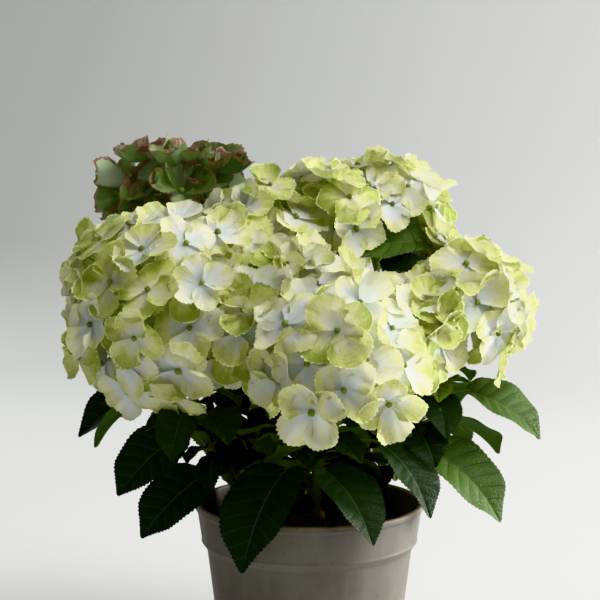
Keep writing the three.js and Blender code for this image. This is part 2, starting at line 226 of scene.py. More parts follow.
def hoops(radii: Array, heights: Array, sides: int) -> Array:
    """The points of circles about +Z.

    Args:
        radii: Radius of each circle.
        heights: Height of each circle.
        sides: Points round it.

    Returns:
        Places, (circles, sides, 3).
    """
    turns = np.arange(sides) / sides * FULL_TURN
    levels = np.repeat(np.asarray(heights)[:, None], sides, 1)
    return np.stack([np.outer(radii, np.cos(turns)), np.outer(radii, np.sin(turns)), levels], axis=-1)


def surface_normals(points: Array) -> Array:
    """The unit normals of a grid of points.

    Args:
        points: Places; its last three axes are rows, columns and X, Y, Z.

    Returns:
        A normal for each point.
    """
    down = np.gradient(points, axis=-3)
    across = np.gradient(points, axis=-2)
    normals = np.cross(down, across)
    return normals / np.maximum(np.linalg.norm(normals, axis=-1, keepdims=True), 1e-9)


@dataclass
class Heap:
    """Meshes heaped up to become one piece, with a finish number for each face."""

    points: list[Array] = field(default_factory=list)
    maps: list[Array] = field(default_factory=list)
    faces: list[Array] = field(default_factory=list)
    finishes: list[Array] = field(default_factory=list)
    count: int = 0

    def add(
        self, points: Array, faces: Sequence[Array], finishes: Any = 0, chart: Array | None = None
    ) -> None:
        """Adds a mesh.

        Args:
            points: Places in millimetres.
            faces: Arrays of point numbers, one row a face.
            finishes: One finish number, or for each array of faces a number or a row of numbers.
            chart: Surface coordinates of each point.
        """
        points = points.reshape(-1, 3)
        if not isinstance(finishes, list):
            finishes = [finishes] * len(faces)
        for rows, finish in zip(faces, finishes):
            self.faces.append(rows + self.count)
            self.finishes.append(np.broadcast_to(np.asarray(finish).ravel(), len(rows)))
        self.points.append(points)
        self.maps.append(np.zeros((len(points), 2)) if chart is None else chart.reshape(-1, 2))
        self.count += len(points)

    def piece(self, name: str, finishes: Sequence[bpy.types.Material]) -> bpy.types.Object:
        """Makes the heap one object.

        Args:
            name: The piece's name.
            finishes: The materials, in the order of their numbers.

        Returns:
            The object, in the scene.
        """
        mesh = bpy.data.meshes.new(name)
        points = np.concatenate(self.points) * MM
        corners = np.concatenate([rows.ravel() for rows in self.faces])
        sizes = np.concatenate([np.full(len(rows), rows.shape[1]) for rows in self.faces])
        starts = np.concatenate([[0], np.cumsum(sizes)[:-1]])
        mesh.vertices.add(len(points))
        mesh.vertices.foreach_set("co", points.astype(np.float32).ravel())
        mesh.loops.add(len(corners))
        mesh.loops.foreach_set("vertex_index", corners.astype(np.int32))
        mesh.polygons.add(len(sizes))
        mesh.polygons.foreach_set("loop_start", starts.astype(np.int32))
        mesh.polygons.foreach_set("material_index", np.concatenate(self.finishes).astype(np.int32))
        mesh.polygons.foreach_set("use_smooth", np.ones(len(sizes), bool))
        for finish in finishes:
            mesh.materials.append(finish)
        chart = mesh.uv_layers.new(name="chart")
        chart.data.foreach_set("uv", np.concatenate(self.maps)[corners].astype(np.float32).ravel())
        mesh.update(calc_edges=True)
        mesh.validate()
        piece = bpy.data.objects.new(name, mesh)
        bpy.context.scene.collection.objects.link(piece)
        return piece


def dress(piece: bpy.types.Object, slot: str, *nodes: str) -> bpy.types.Object:
    """Seats a piece in the frame: it rides on the plant's one body and stands for its solids.

    Args:
        piece: The piece.
        slot: Not used.
        nodes: The solids that it replaces.

    Returns:
        The piece.
    """
    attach(piece, "root")
    if nodes:
        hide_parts(*nodes)
    count = sum(len(face.vertices) - 2 for face in piece.data.polygons)
    log.info("%s: %d triangles", piece.name, count)
    return piece


def only(piece: bpy.types.Object) -> None:
    """Makes a piece the one that is picked and active.

    Args:
        piece: The piece.
    """
    bpy.ops.object.select_all(action="DESELECT")
    piece.select_set(True)
    bpy.context.view_layer.objects.active = piece


@dataclass
class Bow:
    """A smooth path through a start, round a bend, to an end, read by share of its length."""

    start: Array
    bend: Array
    end: Array

    def __post_init__(self) -> None:
        """Measures the path."""
        t = np.linspace(0, 1, 201)[:, None]
        start, bend, end = (np.asarray(p, float) for p in (self.start, self.bend, self.end))
        self.track = (1 - t) ** 2 * start + 2 * t * (1 - t) * bend + t**2 * end
        steps = np.linalg.norm(np.diff(self.track, axis=0), axis=1)
        self.length = float(steps.sum())
        self.shares = np.concatenate([[0], np.cumsum(steps)]) / self.length

    def at(self, share: Array | float) -> Array:
        """The place or places at a share of the length."""
        return np.stack([np.interp(share, self.shares, self.track[:, k]) for k in range(3)], axis=-1)


def limb(heap: Heap, path: Array, radii: Array, sides: int, finish: int = 0) -> None:
    """Adds a round limb along a path, closed at its ends.

    Args:
        heap: Where it goes.
        path: Places of its rings, (rings, 3).
        radii: Radius of each ring, or of each of its points, (rings,) or (rings, sides).
        sides: Points round it.
        finish: Its finish number.
    """
    path = np.asarray(path, float)
    radii = np.asarray(radii, float)
    radii = radii[:, None] if radii.ndim == 1 else radii
    tangents = unit(np.gradient(path, axis=0))
    guide = np.array([0.0, 1, 0]) if abs(tangents[0][1]) < 0.9 else np.array([1.0, 0, 0])
    side = unit(np.cross(guide, tangents[0]))
    rings = []
    turns = np.arange(sides) / sides * FULL_TURN
    for centre, tangent, radius in zip(path, tangents, radii):
        side = unit(side - tangent * np.dot(side, tangent))
        other = np.cross(tangent, side)
        spokes = np.cos(turns)[:, None] * side + np.sin(turns)[:, None] * other
        rings.append(centre + spokes * radius[..., None])
    points = np.concatenate([*rings, path[:1], path[-1:]])
    faces = [grid(len(path), sides, flip=True, wrap=True), *caps(len(path), sides)]
    heap.add(points, faces, finish)


def ball(
    heap: Heap, centre: Array, axes: Array, rings: int, sides: int, finish: int = 0, lobes: float = 0
) -> None:
    """Adds a rounded bead.

    Args:
        heap: Where it goes.
        centre: Its middle.
        axes: Matrix whose columns are its half axes; the second is its own up.
        rings: Rows of faces from pole to pole.
        sides: Points round it.
        finish: Its finish number.
        lobes: Depth of the four furrows down its sides, as a share of its radius.
    """
    pole = 0.12  # the angle of the first ring from the pole
    drop = np.linspace(pole, math.pi - pole, rings)[:, None]
    turn = (np.arange(sides) / sides * FULL_TURN)[None, :]
    swell = 1 + lobes * np.cos(4 * turn)
    x, z = np.sin(drop) * np.cos(turn) * swell, np.sin(drop) * np.sin(turn) * swell
    local = np.stack([x, np.cos(drop) + 0 * turn, z], axis=-1)
    points = np.concatenate([local.reshape(-1, 3), [[0, 1, 0], [0, -1, 0]]]) @ axes.T + centre
    heap.add(points, [grid(rings, sides, flip=True, wrap=True), *caps(rings, sides)], finish)


def lathe(
    heap: Heap, profile: Sequence[tuple[float, float]], segments: int, finishes: Sequence[int]
) -> None:
    """Adds a turned shape about +Z.

    Args:
        heap: Where it goes.
        profile: (radius, height) pairs from its foot up the outside, starting and ending on the axis.
        segments: Points round it.
        finishes: Finish number of the band above each pair of the profile.
    """
    inner = np.array(profile[1:-1])
    poles = np.array([[0, 0, profile[0][1]], [0, 0, profile[-1][1]]])
    points = np.concatenate([hoops(inner[:, 0], inner[:, 1], segments).reshape(-1, 3), poles])
    faces = [grid(len(inner), segments, flip=True, wrap=True), *caps(len(inner), segments)]
    ends = [np.full(segments, finish) for finish in (finishes[0], finishes[-2])]
    heap.add(points, faces, [np.repeat(finishes[1:-2], segments), *ends])


# --- materials ---


class Wire:
    """A node's output, on which shader maths is written as a Python expression."""

    def __init__(self, graph: "Graph", socket: bpy.types.NodeSocket) -> None:
        """Keeps the socket and the graph that it is in."""
        self.graph = graph
        self.socket = socket

    def _math(self, operation: str, other: Wire | float, swapped: bool = False) -> Wire:
        """A Math node on this value and another."""
        pair = (other, self) if swapped else (self, other)
        return self.graph.add("ShaderNodeMath", {"operation": operation}, {0: pair[0], 1: pair[1]})

    def __add__(self, other: Wire | float) -> Wire:
        """The sum."""
        return self._math("ADD", other)

    def __sub__(self, other: Wire | float) -> Wire:
        """The difference."""
        return self._math("SUBTRACT", other)

    def __rsub__(self, other: float) -> Wire:
        """The difference from a number."""
        return self._math("SUBTRACT", other, swapped=True)

    def __mul__(self, other: Wire | float) -> Wire:
        """The product."""
        return self._math("MULTIPLY", other)

    def __pow__(self, other: float) -> Wire:
        """The power."""
        return self._math("POWER", other)

    def __abs__(self) -> Wire:
        """The size without its sign."""
        return self.graph.add("ShaderNodeMath", {"operation": "ABSOLUTE"}, {0: self})

    __radd__ = __add__
    __rmul__ = __mul__


class Graph:
    """The nodes of one material."""

    def __init__(self, name: str) -> None:
        """Starts a material with its one shader.

        Args:
            name: The material's name.
        """
        self.material = bpy.data.materials.new(name)
        self.material.use_nodes = True
        self.tree = self.material.node_tree
        self.shader = self.tree.nodes["Principled BSDF"]

    def add(
        self,
        kind: str,
        settings: dict[str, Any] | None = None,
        inputs: dict[int | str, Any] | None = None,
        output: int | str = 0,
    ) -> Wire:
        """Adds a node.

        Args:
            kind: The node's type.
            settings: Its settings, set first; "stops" are a ramp's places and colours.
            inputs: Values or wires for its sockets.
            output: Which of its outputs is wanted.

        Returns:
            The output as a wire.
        """
        node = self.tree.nodes.new(kind)
        for key, value in (settings or {}).items():
            if key != "stops":
                setattr(node, key, value)
                continue
            stops = node.color_ramp.elements
            while len(stops) < len(value):
                stops.new(0.5)
            for stop, (place, colour) in zip(stops, value):
                stop.position = place
                stop.color = (*colour, 1)
        for key, value in (inputs or {}).items():
            self.plug(node.inputs[key], value)
        return Wire(self, node.outputs[output])

    def plug(self, socket: bpy.types.NodeSocket, value: Any) -> None:
        """Sets a socket to a value, or links a wire to it.

        Args:
            socket: The socket.
            value: A number, a colour, another plain value or a wire.
        """
        if isinstance(value, Wire):
            self.tree.links.new(value.socket, socket)
        elif isinstance(value, tuple) and len(value) == 3 and socket.type == "RGBA":
            socket.default_value = (*value, 1)
        else:
            socket.default_value = value

    def place(self) -> Wire:
        """Places on the piece, in metres."""
        return self.add("ShaderNodeTexCoord", output="Object")

    def part(self, place: Wire, number: int) -> Wire:
        """X, Y or Z of a place, numbered 0 to 2."""
        return self.add("ShaderNodeSeparateXYZ", {}, {0: place}, number)

    def stretched(self, place: Wire, scale: tuple[float, float, float]) -> Wire:
        """Places scaled apart along each axis."""
        return self.add("ShaderNodeMapping", {"vector_type": "POINT"}, {"Vector": place, "Scale": scale})

    def noise(self, place: Wire, scale: float, detail: float = 3, roughness: float = 0.55) -> Wire:
        """Cloudy noise from 0 to 1.

        Args:
            place: Where it is read.
            scale: Clouds in a metre.
            detail: Finer layers.
            roughness: How strong they are.

        Returns:
            The noise.
        """
        inputs = {"Vector": place, "Scale": scale, "Detail": detail, "Roughness": roughness}
        return self.add("ShaderNodeTexNoise", {}, inputs, "Fac")

    def cells(self, place: Wire, scale: float, feature: str = "F1") -> Wire:
        """Distance to the middles or the walls of random cells."""
        inputs = {"Vector": place, "Scale": scale}
        return self.add("ShaderNodeTexVoronoi", {"feature": feature}, inputs, "Distance")

    def span(self, value: Wire, source: tuple[float, float], target: tuple[float, float]) -> Wire:
        """A value read between two numbers and given between two others."""
        inputs = {0: value, 1: source[0], 2: source[1], 3: target[0], 4: target[1]}
        return self.add("ShaderNodeMapRange", {"clamp": True}, inputs)

    def ramp(self, value: Wire, stops: Sequence[tuple[float, Colour]]) -> Wire:
        """Colours along a value."""
        return self.add("ShaderNodeValToRGB", {"stops": stops}, {0: value}, "Color")

    def blend(self, share: Wire | float, first: Any, second: Any) -> Wire:
        """One colour turning into another."""
        inputs = {0: share, 6: first, 7: second}
        return self.add("ShaderNodeMix", {"data_type": "RGBA"}, inputs, 2)

    def layer(
        self, skin: Any, colour: Colour, mask: Wire, source: tuple[float, float], cover: tuple[float, float]
    ) -> Wire:
        """Lays a colour over a skin where a mask calls for it.

        Args:
            skin: The colour beneath.
            colour: The colour laid over it.
            mask: The value that places it.
            source: Two of the mask's values.
            cover: How much of the colour covers the skin at each.

        Returns:
            The new skin.
        """
        return self.blend(self.span(mask, source, cover), skin, colour)

    def relief(self, height: Wire, depth: float) -> None:
        """Feeds the shader a bump whose height of 1 stands depth millimetres high."""
        inputs = {"Height": height, "Distance": depth * MM, "Strength": 1.0}
        self.plug(self.shader.inputs["Normal"], self.add("ShaderNodeBump", {}, inputs, "Normal"))

    def translucent(self, share: float, colour: Colour) -> None:
        """Lets light through a thin sheet.

        Args:
            share: The share of the light.
            colour: Its colour.
        """
        glow = self.add("ShaderNodeBsdfTranslucent", {}, {"Color": colour})
        output = self.tree.nodes["Material Output"]
        skin = Wire(self, self.shader.outputs[0])
        mixed = self.add("ShaderNodeMixShader", {}, {0: share, 1: skin, 2: glow})
        self.plug(output.inputs["Surface"], mixed)

    def finish(self, **sockets: Any) -> bpy.types.Material:
        """Fills the shader's sockets.

        Args:
            sockets: Values or wires by the socket's name, with _ for a space.

        Returns:
            The material.
        """
        for key, value in sockets.items():
            self.plug(self.shader.inputs[key.replace("_", " ")], value)
        return self.material


@dataclass(frozen=True)
class PetalFinish:
    """Soft matte petal of one plain colour, with fine fanned veins."""

    name: str
    colour: Colour
    roughness: float = 0.55
    through: float = 0.26  # share of the light that it lets through
    relief: float = 0.3  # height of its veins in millimetres
    fan: float = 34.0  # how close its veins are
    glow: float = 0.7  # how much paler the light is that comes through it

    def make(self) -> bpy.types.Material:
        """Makes the material.

        Returns:
            The material.
        """
        graph = Graph(self.name)
        chart = graph.add("ShaderNodeUVMap", {"uv_map": "chart"}, output="UV")
        drift = graph.noise(graph.stretched(chart, (2.2, 1.4, 1)), 3.0, 2)
        across = graph.part(chart, 1)
        fan = graph.add("ShaderNodeMath", {"operation": "SINE"}, {0: (across + drift * 0.55) * self.fan})
        veins = abs(fan) ** 0.5
        skin = graph.noise(graph.place(), 2600, 2)
        graph.relief(veins * 0.7 + skin * 0.45, self.relief)
        mottle = graph.noise(graph.place(), 260, 3)
        graph.translucent(self.through, tuple(channel**self.glow for channel in self.colour))
        return graph.finish(
            Base_Color=self.colour,
            Roughness=graph.span(mottle, (0.3, 0.7), (self.roughness - 0.09, self.roughness + 0.1)),
            Specular_IOR_Level=0.3,
            Sheen_Weight=0.12,
        )


@dataclass(frozen=True)
class LeafFinish:
    """Glossy leaf of one plain colour, with net veins pressed into it."""

    name: str
    colour: Colour
    roughness: float = 0.44
    relief: float = 0.34
    coat: float = 0.03

    def make(self) -> bpy.types.Material:
        """Makes the material.

        Returns:
            The material.
        """
        graph = Graph(self.name)
        place = graph.place()
        net = graph.cells(place, 420, "DISTANCE_TO_EDGE")
        waves = graph.noise(place, 190, 3)
        graph.relief(graph.span(net, (0.0, 0.16), (0.0, 1.0)) * 0.6 + waves * 0.8, self.relief)
        dull = graph.noise(place, 55, 4, 0.65)
        return graph.finish(
            Base_Color=self.colour,
            Roughness=graph.span(dull, (0.3, 0.72), (self.roughness - 0.07, self.roughness + 0.14)),
            Specular_IOR_Level=0.18,
            Coat_Weight=self.coat,
            Coat_Roughness=0.25,
        )


@dataclass(frozen=True)
class StalkFinish:
    """Skin of a green stalk or cane, streaked along it and freckled with pores."""

    name: str
    colour: Colour
    streak: Colour
    freckle: Colour
    roughness: float = 0.5

    def make(self) -> bpy.types.Material:
        """Makes the material.

        Returns:
            The material.
        """
        graph = Graph(self.name)
        place = graph.place()
        streaks = graph.noise(graph.stretched(place, (1, 1, 0.12)), 480, 4, 0.6)
        cloud = graph.noise(place, 45, 3)
        pores = graph.cells(graph.stretched(place, (1, 1, 0.4)), 520)
        skin = graph.layer(self.colour, self.streak, streaks, (0.35, 0.68), (0.0, 0.75))
        skin = graph.layer(skin, self.freckle, cloud, (0.45, 0.75), (0.0, 0.5))
        skin = graph.layer(skin, self.freckle, pores, (0.1, 0.2), (0.7, 0.0))
        graph.relief(streaks * 0.7 + graph.span(pores, (0.05, 0.25), (1.0, 0.0)) * 0.5, 0.18)
        return graph.finish(
            Base_Color=skin,
            Roughness=graph.span(cloud, (0.3, 0.7), (self.roughness - 0.08, self.roughness + 0.12)),
        )


BARK_FINISH = StalkFinish("stem_bark", rgb(104, 92, 62), rgb(78, 66, 42), rgb(132, 120, 92), 0.75)
CANE_FINISHES = (
    StalkFinish("cane_skin", rgb(84, 98, 46), rgb(66, 80, 36), rgb(112, 104, 66)),
    StalkFinish("leaf_stalk_skin", rgb(98, 120, 58), rgb(82, 104, 48), rgb(122, 128, 74)),
)
MIDDLE_FINISHES = (
    StalkFinish("floret_stalk_skin", rgb(158, 176, 104), rgb(140, 160, 88), rgb(176, 186, 128)),
    StalkFinish("button_green", rgb(124, 143, 58), rgb(106, 126, 46), rgb(148, 160, 84), 0.4),
    StalkFinish("button_olive", rgb(106, 120, 46), rgb(90, 104, 36), rgb(130, 138, 66), 0.4),
)


@dataclass(frozen=True)
class MouldedPlastic:
    """Weathered grey-brown nursery plastic with flow streaks, specks, chalky bloom and scuffs."""

    name: str = "weathered_plastic"
    body: Colour = rgb(115, 112, 105)
    dark: Colour = rgb(99, 94, 86)
    chalk: Colour = rgb(135, 132, 126)
    speck: Colour = rgb(74, 64, 50)
    brim: Colour = rgb(160, 140, 114)
    brim_at: tuple[float, float] = (0.1476, 0.1492)  # heights between which the worn lip begins, in metres
    bumps: float = 0.35

    def make(self) -> bpy.types.Material:
        """Makes the material.

        Returns:
            The material.
        """
        graph = Graph(self.name)
        place = graph.place()
        height = graph.part(place, 2)
        cloud = graph.noise(place, 16, 5, 0.62)
        flow = graph.noise(graph.stretched(place, (1, 1, 0.22)), 70, 5, 0.6)
        fine = graph.noise(place, 900, 3, 0.6)
        specks = graph.cells(place, 150)
        scuffs = graph.noise(graph.stretched(place, (1, 1, 5)), 120, 6, 0.7)
        skin = graph.layer(self.dark, self.body, cloud, (0.35, 0.66), (0.0, 1.0))
        skin = graph.layer(skin, self.chalk, flow, (0.45, 0.75), (0.0, 0.4))
        skin = graph.layer(skin, self.chalk, scuffs, (0.66, 0.74), (0.0, 0.35))
        skin = graph.layer(skin, self.dark, fine, (0.62, 0.76), (0.0, 0.35))
        skin = graph.layer(skin, self.speck, specks, (0.05, 0.1), (0.75, 0.0))
        worn = graph.span(height, self.brim_at, (0.0, 0.75)) * graph.span(flow, (0.3, 0.6), (0.4, 1.0))
        skin = graph.blend(worn, skin, self.brim)
        scraped = graph.span(scuffs, (0.6, 0.75), (0.0, -0.2))
        graph.relief(cloud * 0.6 + flow * 0.5 + fine * 0.16 + scraped, self.bumps)
        return graph.finish(
            Base_Color=skin,
            Roughness=graph.span(flow, (0.3, 0.7), (0.48, 0.72)),
            Specular_IOR_Level=0.42,
        )


@dataclass(frozen=True)
class DampSoil:
    """Damp dark potting soil, with paler dry crumbs."""

    name: str = "damp_soil"
    wet: Colour = rgb(24, 18, 13)
    dry: Colour = rgb(70, 56, 42)

    def make(self) -> bpy.types.Material:
        """Makes the material.

        Returns:
            The material.
        """
        graph = Graph(self.name)
        place = graph.place()
        crumbs = graph.noise(place, 320, 6, 0.7)
        cloud = graph.noise(place, 60, 4)
        graph.relief(crumbs + cloud * 0.8, 1.2)
        return graph.finish(
            Base_Color=graph.ramp(crumbs * 0.7 + cloud * 0.3, [(0.4, self.wet), (0.72, self.dry)]),
            Roughness=graph.span(cloud, (0.35, 0.7), (0.7, 0.98)),
        )


@dataclass(frozen=True)
class BackdropPaper:
    """Matte pale studio paper with painted shade: darker up and to the left, and on the floor darker to the
    left far off and to the right near the plant, where the key light falls.
    """

    name: str = "backdrop_paper_painted_shade"
    pale: Colour = (0.68, 0.685, 0.68)
    # The colour of the painted shade.
    deep: Colour = (0.46, 0.47, 0.46)

    def make(self) -> bpy.types.Material:
        """Makes the material.

        Returns:
            The material.
        """
        graph = Graph(self.name)
        place = graph.place()
        right, depth, height = (graph.part(place, number) for number in range(3))
        cloud = graph.noise(place, 0.8, 2)
        up = graph.span(height, (0.0, 0.24), (0.0, 1.0))
        far = graph.span(depth, (0.35, 1.7), (0.0, 1.0))
        # Painted shade: the wall darker up and to the left, the far floor darker to the left, the near floor
        # darker to the right where the key light falls.
        wall = 0.6 - right * 0.5 + height * 0.1
        ground = far * (0.66 - right * 0.62) + (1 - far) * (right * 0.3 + 0.05)
        share = up * wall + (1 - up) * ground + cloud * 0.15 - 0.05
        shade = graph.span(share, (0.0, 1.0), (0.0, 1.0))
        return graph.finish(
            Base_Color=graph.blend(shade, self.pale, self.deep),
            Roughness=0.9,
            Specular_IOR_Level=0.1,
        )


# --- pot, soil and stems ---


@dataclass
class NurseryPot:
    """The tapered nursery pot with its stepped collar, rolled lip and drain holes."""

    height: float = 150
    rim: float = 85
    base: float = 62
    wall: float = 1.8
    floor: float = 2.6
    lip: float = 4
    lip_out: float = 1.6
    collar: float = 34
    collar_flare: float = 3
    step: float = 4
    step_rise: float = 7
    bevel: float = 1.5
    segments: int = 176
    drains: int = 6
    drain_radius: float = 5
    drain_ring: float = 42
    band: float = 9  # the tallest band of faces

    def __post_init__(self) -> None:
        """Works out the collar's places."""
        self.shoulder = self.height - self.collar
        self.collar_top = self.rim - self.lip_out
        self.collar_foot = self.collar_top - self.collar_flare
        self.waist = self.collar_foot - self.step

    def bore(self) -> list[tuple[float, float]]:
        """The outline of the inside.

        Returns:
            Pairs of radius and height, from the floor up.
        """
        return [
            (self.base - self.wall, self.floor),
            (self.waist - self.wall, self.shoulder - 1),
            (self.collar_foot - self.wall, self.shoulder + self.step_rise),
            (self.collar_top - self.wall, self.height),
        ]

    def bore_at(self, height: float) -> float:
        """The radius of the inside at a height."""
        radii, heights = zip(*self.bore())
        return float(np.interp(height, heights, radii))

    def profile(self) -> list[tuple[float, float]]:
        """The pot's outline, with each corner rounded as moulded plastic is.

        Returns:
            Pairs of radius and height, up the outside and down the inside.
        """
        top = self.height
        corners = [
            (self.base - self.bevel, 0, 0.5),
            (self.base, self.bevel, 0.8),
            (self.waist, self.shoulder, 1.2),
            (self.collar_foot + 0.2, self.shoulder + self.step_rise - 1.4, 0.5),
            (self.collar_foot - 0.1, self.shoulder + self.step_rise + 0.6, 0.5),
            (self.collar_top, top - self.lip - 1.6, 0.7),
            (self.rim, top - self.lip, 0.9),
            (self.rim, top - 0.6, 0.9),
            (self.rim - 1.4, top, 0.8),
            (self.collar_top - self.wall, top - 0.3, 0.6),
            (self.collar_foot - self.wall, self.shoulder + self.step_rise, 1.2),
            (self.waist - self.wall, self.shoulder - 1, 1.2),
            (self.base - self.wall, self.floor, 1.2),
        ]
        ends = [(0.0, 0.0), (0.0, self.floor)]
        path = [ends[0], *[(r, z) for r, z, _ in corners], ends[1]]
        outline = [ends[0]]
        for number, (radius, height, fillet) in enumerate(corners, start=1):
            here = np.array([radius, height])
            before, after = np.array(path[number - 1]), np.array(path[number + 1])
            near = here + unit(before - here) * min(fillet, np.linalg.norm(before - here) / 2.1)
            far = here + unit(after - here) * min(fillet, np.linalg.norm(after - here) / 2.1)
            previous = np.array(outline[-1])
            between = int(np.linalg.norm(near - previous) // self.band)
            for step in range(1, between + 1):
                outline.append(tuple(previous + (near - previous) * step / (between + 1)))
            for t in (0, 0.33, 0.67, 1):
                outline.append(tuple((1 - t) ** 2 * near + 2 * t * (1 - t) * here + t**2 * far))
        return [*outline, ends[1]]

    def build(self) -> None:
        """Makes the pot, with its holes bored."""
        heap = Heap()
        profile = self.profile()
        inside = max(range(len(profile)), key=lambda number: profile[number][1])
        lathe(heap, profile, self.segments, [int(number > inside) for number in range(len(profile))])
        # A dark copy of the plastic on the inner wall is painted shade inside the pot.
        inside_shade = MouldedPlastic("pot_inside_painted_shade", rgb(64, 56, 46), rgb(40, 34, 27), rgb(92, 84, 72))
        piece = heap.piece("nursery_pot", [MouldedPlastic().make(), inside_shade.make()])
        bores = Heap()
        for number in range(self.drains):
            turn = number / self.drains * FULL_TURN
            middle = np.array([math.cos(turn), math.sin(turn), 0]) * self.drain_ring
            ends = middle + np.array([[0, 0, -self.floor], [0, 0, 0.4], [0, 0, 2 * self.floor]])
            limb(bores, ends, np.full(3, self.drain_radius), 32)
        cutter = bores.piece("drain_bores", [])
        cut = piece.modifiers.new("drains", "BOOLEAN")
        cut.operation, cut.solver, cut.object = "DIFFERENCE", "EXACT", cutter
        only(piece)
        bpy.ops.object.modifier_apply(modifier=cut.name)
        bpy.data.objects.remove(cutter)
        piece.data.shade_smooth()
        piece.data.set_sharp_from_angle(angle=math.radians(50))
        dress(piece, "plastic", "pot")


@dataclass
class PottingSoil:
    """The potting soil, lumpy on top, with crumbs and bark chips on it."""

    pot: NurseryPot
    top: float = 126
    edge: float = 123
    gap: float = 0.3
    lump: float = 2.2
    rings: int = 64
    segments: int = 150
    chips: int = 520
    seed: int = 5

    def surface(self, x: Array | float, y: Array | float) -> Array:
        """The height of the soil.

        Args:
            x: Places across.
            y: Places from front to back.

        Returns:
            A height for each place.
        """
        x, y = np.atleast_1d(x), np.atleast_1d(y)
        far = np.hypot(x, y) / self.pot.bore_at(self.edge)
        places = np.stack([x, y, np.zeros_like(x)], axis=-1)
        lumps = ripple(places, self.seed, 34, 5)
        return self.top - (self.top - self.edge) * far**4 + self.lump * (lumps - 0.65)

    def build(self) -> None:
        """Makes the soil."""
        heap = Heap()
        radius = self.pot.bore_at(self.edge) - self.gap
        shares = np.linspace(0.02, 1, self.rings)[::-1]
        top = hoops(shares * radius, np.zeros(self.rings), self.segments)
        top[..., 2] = self.surface(top[..., 0], top[..., 1])
        heights = [self.pot.floor + self.gap, self.pot.shoulder - 1]
        radii = [self.pot.bore_at(height) - self.gap for height in heights]
        walls = hoops(radii, heights, self.segments)
        poles = np.array([[0, 0, heights[0]], [0, 0, float(self.surface(0.0, 0.0)[0])]])
        points = np.concatenate([np.concatenate([walls, top]).reshape(-1, 3), poles])
        rows = len(walls) + self.rings
        heap.add(points, [grid(rows, self.segments, flip=True, wrap=True), *caps(rows, self.segments)])
        self.scatter(heap, radius)
        crumb = DampSoil("dry_crumbs", rgb(48, 37, 27), rgb(104, 84, 62)).make()
        dress(heap.piece("lumpy_soil", [DampSoil().make(), crumb]), "soil", "potting_soil")

    def scatter(self, heap: Heap, radius: float) -> None:
        """Strews crumbs and bark chips over the top.

        Args:
            heap: Where they go.
            radius: The soil's radius.
        """
        dice = Dice(self.seed)
        for number in range(self.chips):
            far = (radius - 4) * math.sqrt(dice.next())
            turn = dice.between(0, FULL_TURN)
            x, y = far * math.cos(turn), far * math.sin(turn)
            size = dice.between(0.7, 2.1) if number % 5 else dice.between(2.0, 3.6)
            flat = dice.between(0.3, 0.8)
            normal = unit([dice.between(-0.5, 0.5), dice.between(-0.5, 0.5), 1])
            axes = facing(normal, dice.between(0, FULL_TURN))
            axes = axes * [size, size * flat, size * dice.between(0.5, 0.9)]
            height = float(self.surface(x, y)[0]) + 0.2 * size
            ball(heap, np.array([x, y, height]), axes, 3, 5, int(dice.next() < 0.3))


# The places of each rooted stem's foot and of its fork.
ROOTS = {
    "left": ((-40, 5), (-44, 2)),
    "centre": ((7, -10), (6, -13)),
    "right": ((37, 9), (41, 7)),
}


@dataclass
class WoodyStem:
    """A rooted stem: flared at the soil, ridged with bark, and forked into its canes."""

    name: str
    canes: list[Bow]
    flare: float = 0.35
    ground: float = 8.2
    waist: float = 5.4
    fork: float = 4.6
    knot: float = 5
    prong: float = 10
    prong_radius: float = 3.6
    grain: float = 0.45  # edge of the cells that the limbs are fused from
    ridge: float = 0.45  # height of the bark's ridges

    def build(self, bark: bpy.types.Material) -> None:
        """Makes the stem.

        Args:
            bark: Its finish.
        """
        foot, fork = ROOTS[self.name]
        axis = Bow((*foot, STAND), (*foot, (STAND + STEM_TOP) / 2), (*fork, STEM_TOP))
        shares = np.linspace(0, 1, 22)
        swollen = self.ground + (self.waist - self.ground) * np.sqrt(np.minimum(shares / self.flare, 1))
        radii = np.where(shares < self.flare, swollen, self.waist + (self.fork - self.waist) * shares)
        heap = Heap()
        limb(heap, axis.at(shares), radii, 28)
        ball(heap, np.array([*fork, STEM_TOP]), np.eye(3) * self.knot, 12, 20)
        for cane in self.canes:
            reach = np.linspace(0, self.prong / cane.length, 6)
            limb(heap, cane.at(reach), np.full(6, self.prong_radius), 20)
        piece = heap.piece(f"woody_stem_{self.name}", [bark])
        fuse = piece.modifiers.new("fuse", "REMESH")
        fuse.mode, fuse.voxel_size, fuse.use_smooth_shade = "VOXEL", self.grain * MM, True
        only(piece)
        bpy.ops.object.modifier_apply(modifier=fuse.name)
        self.carve(piece)
        dress(piece, "bark", f"stem_{self.name}")

    def carve(self, piece: bpy.types.Object) -> None:
        """Raises the bark's ridges and the scars of old leaves.

        Args:
            piece: The fused stem.
        """
        mesh = piece.data
        places, normals = np.zeros((2, len(mesh.vertices), 3), np.float32)
        mesh.vertices.foreach_get("co", places.ravel())
        mesh.vertices.foreach_get("normal", normals.ravel())
        places = places.astype(float) / MM
        long = places * [1, 1, 0.18]
        height = ripple(long, 3, 5.5, 4) + 0.35 * ripple(places, 9, 4, 3)
        level = 1 - np.abs(normals[:, 2:]) ** 2
        places -= normals * self.ridge * np.maximum(0.2 - height, 0)[:, None] * level
        mesh.vertices.foreach_set("co", (places * MM).astype(np.float32).ravel())
        mesh.update()


# --- leaves and their shoots ---


class LeafTint(Enum):
    """The finishes of a leaf, by number. Beside their use as chance tones, DEEP and DARK are given as
    painted shade to leaves beneath the canopy and hanging in shade, and MID and BRIGHT as painted light to
    leaves that the key light falls on.
    """

    DEEP = 0
    DARK = 1
    MID = 2
    BRIGHT = 3
    RIB = 4
    VEIN = 5
    UNDER = 6
    UNDER_RIB = 7


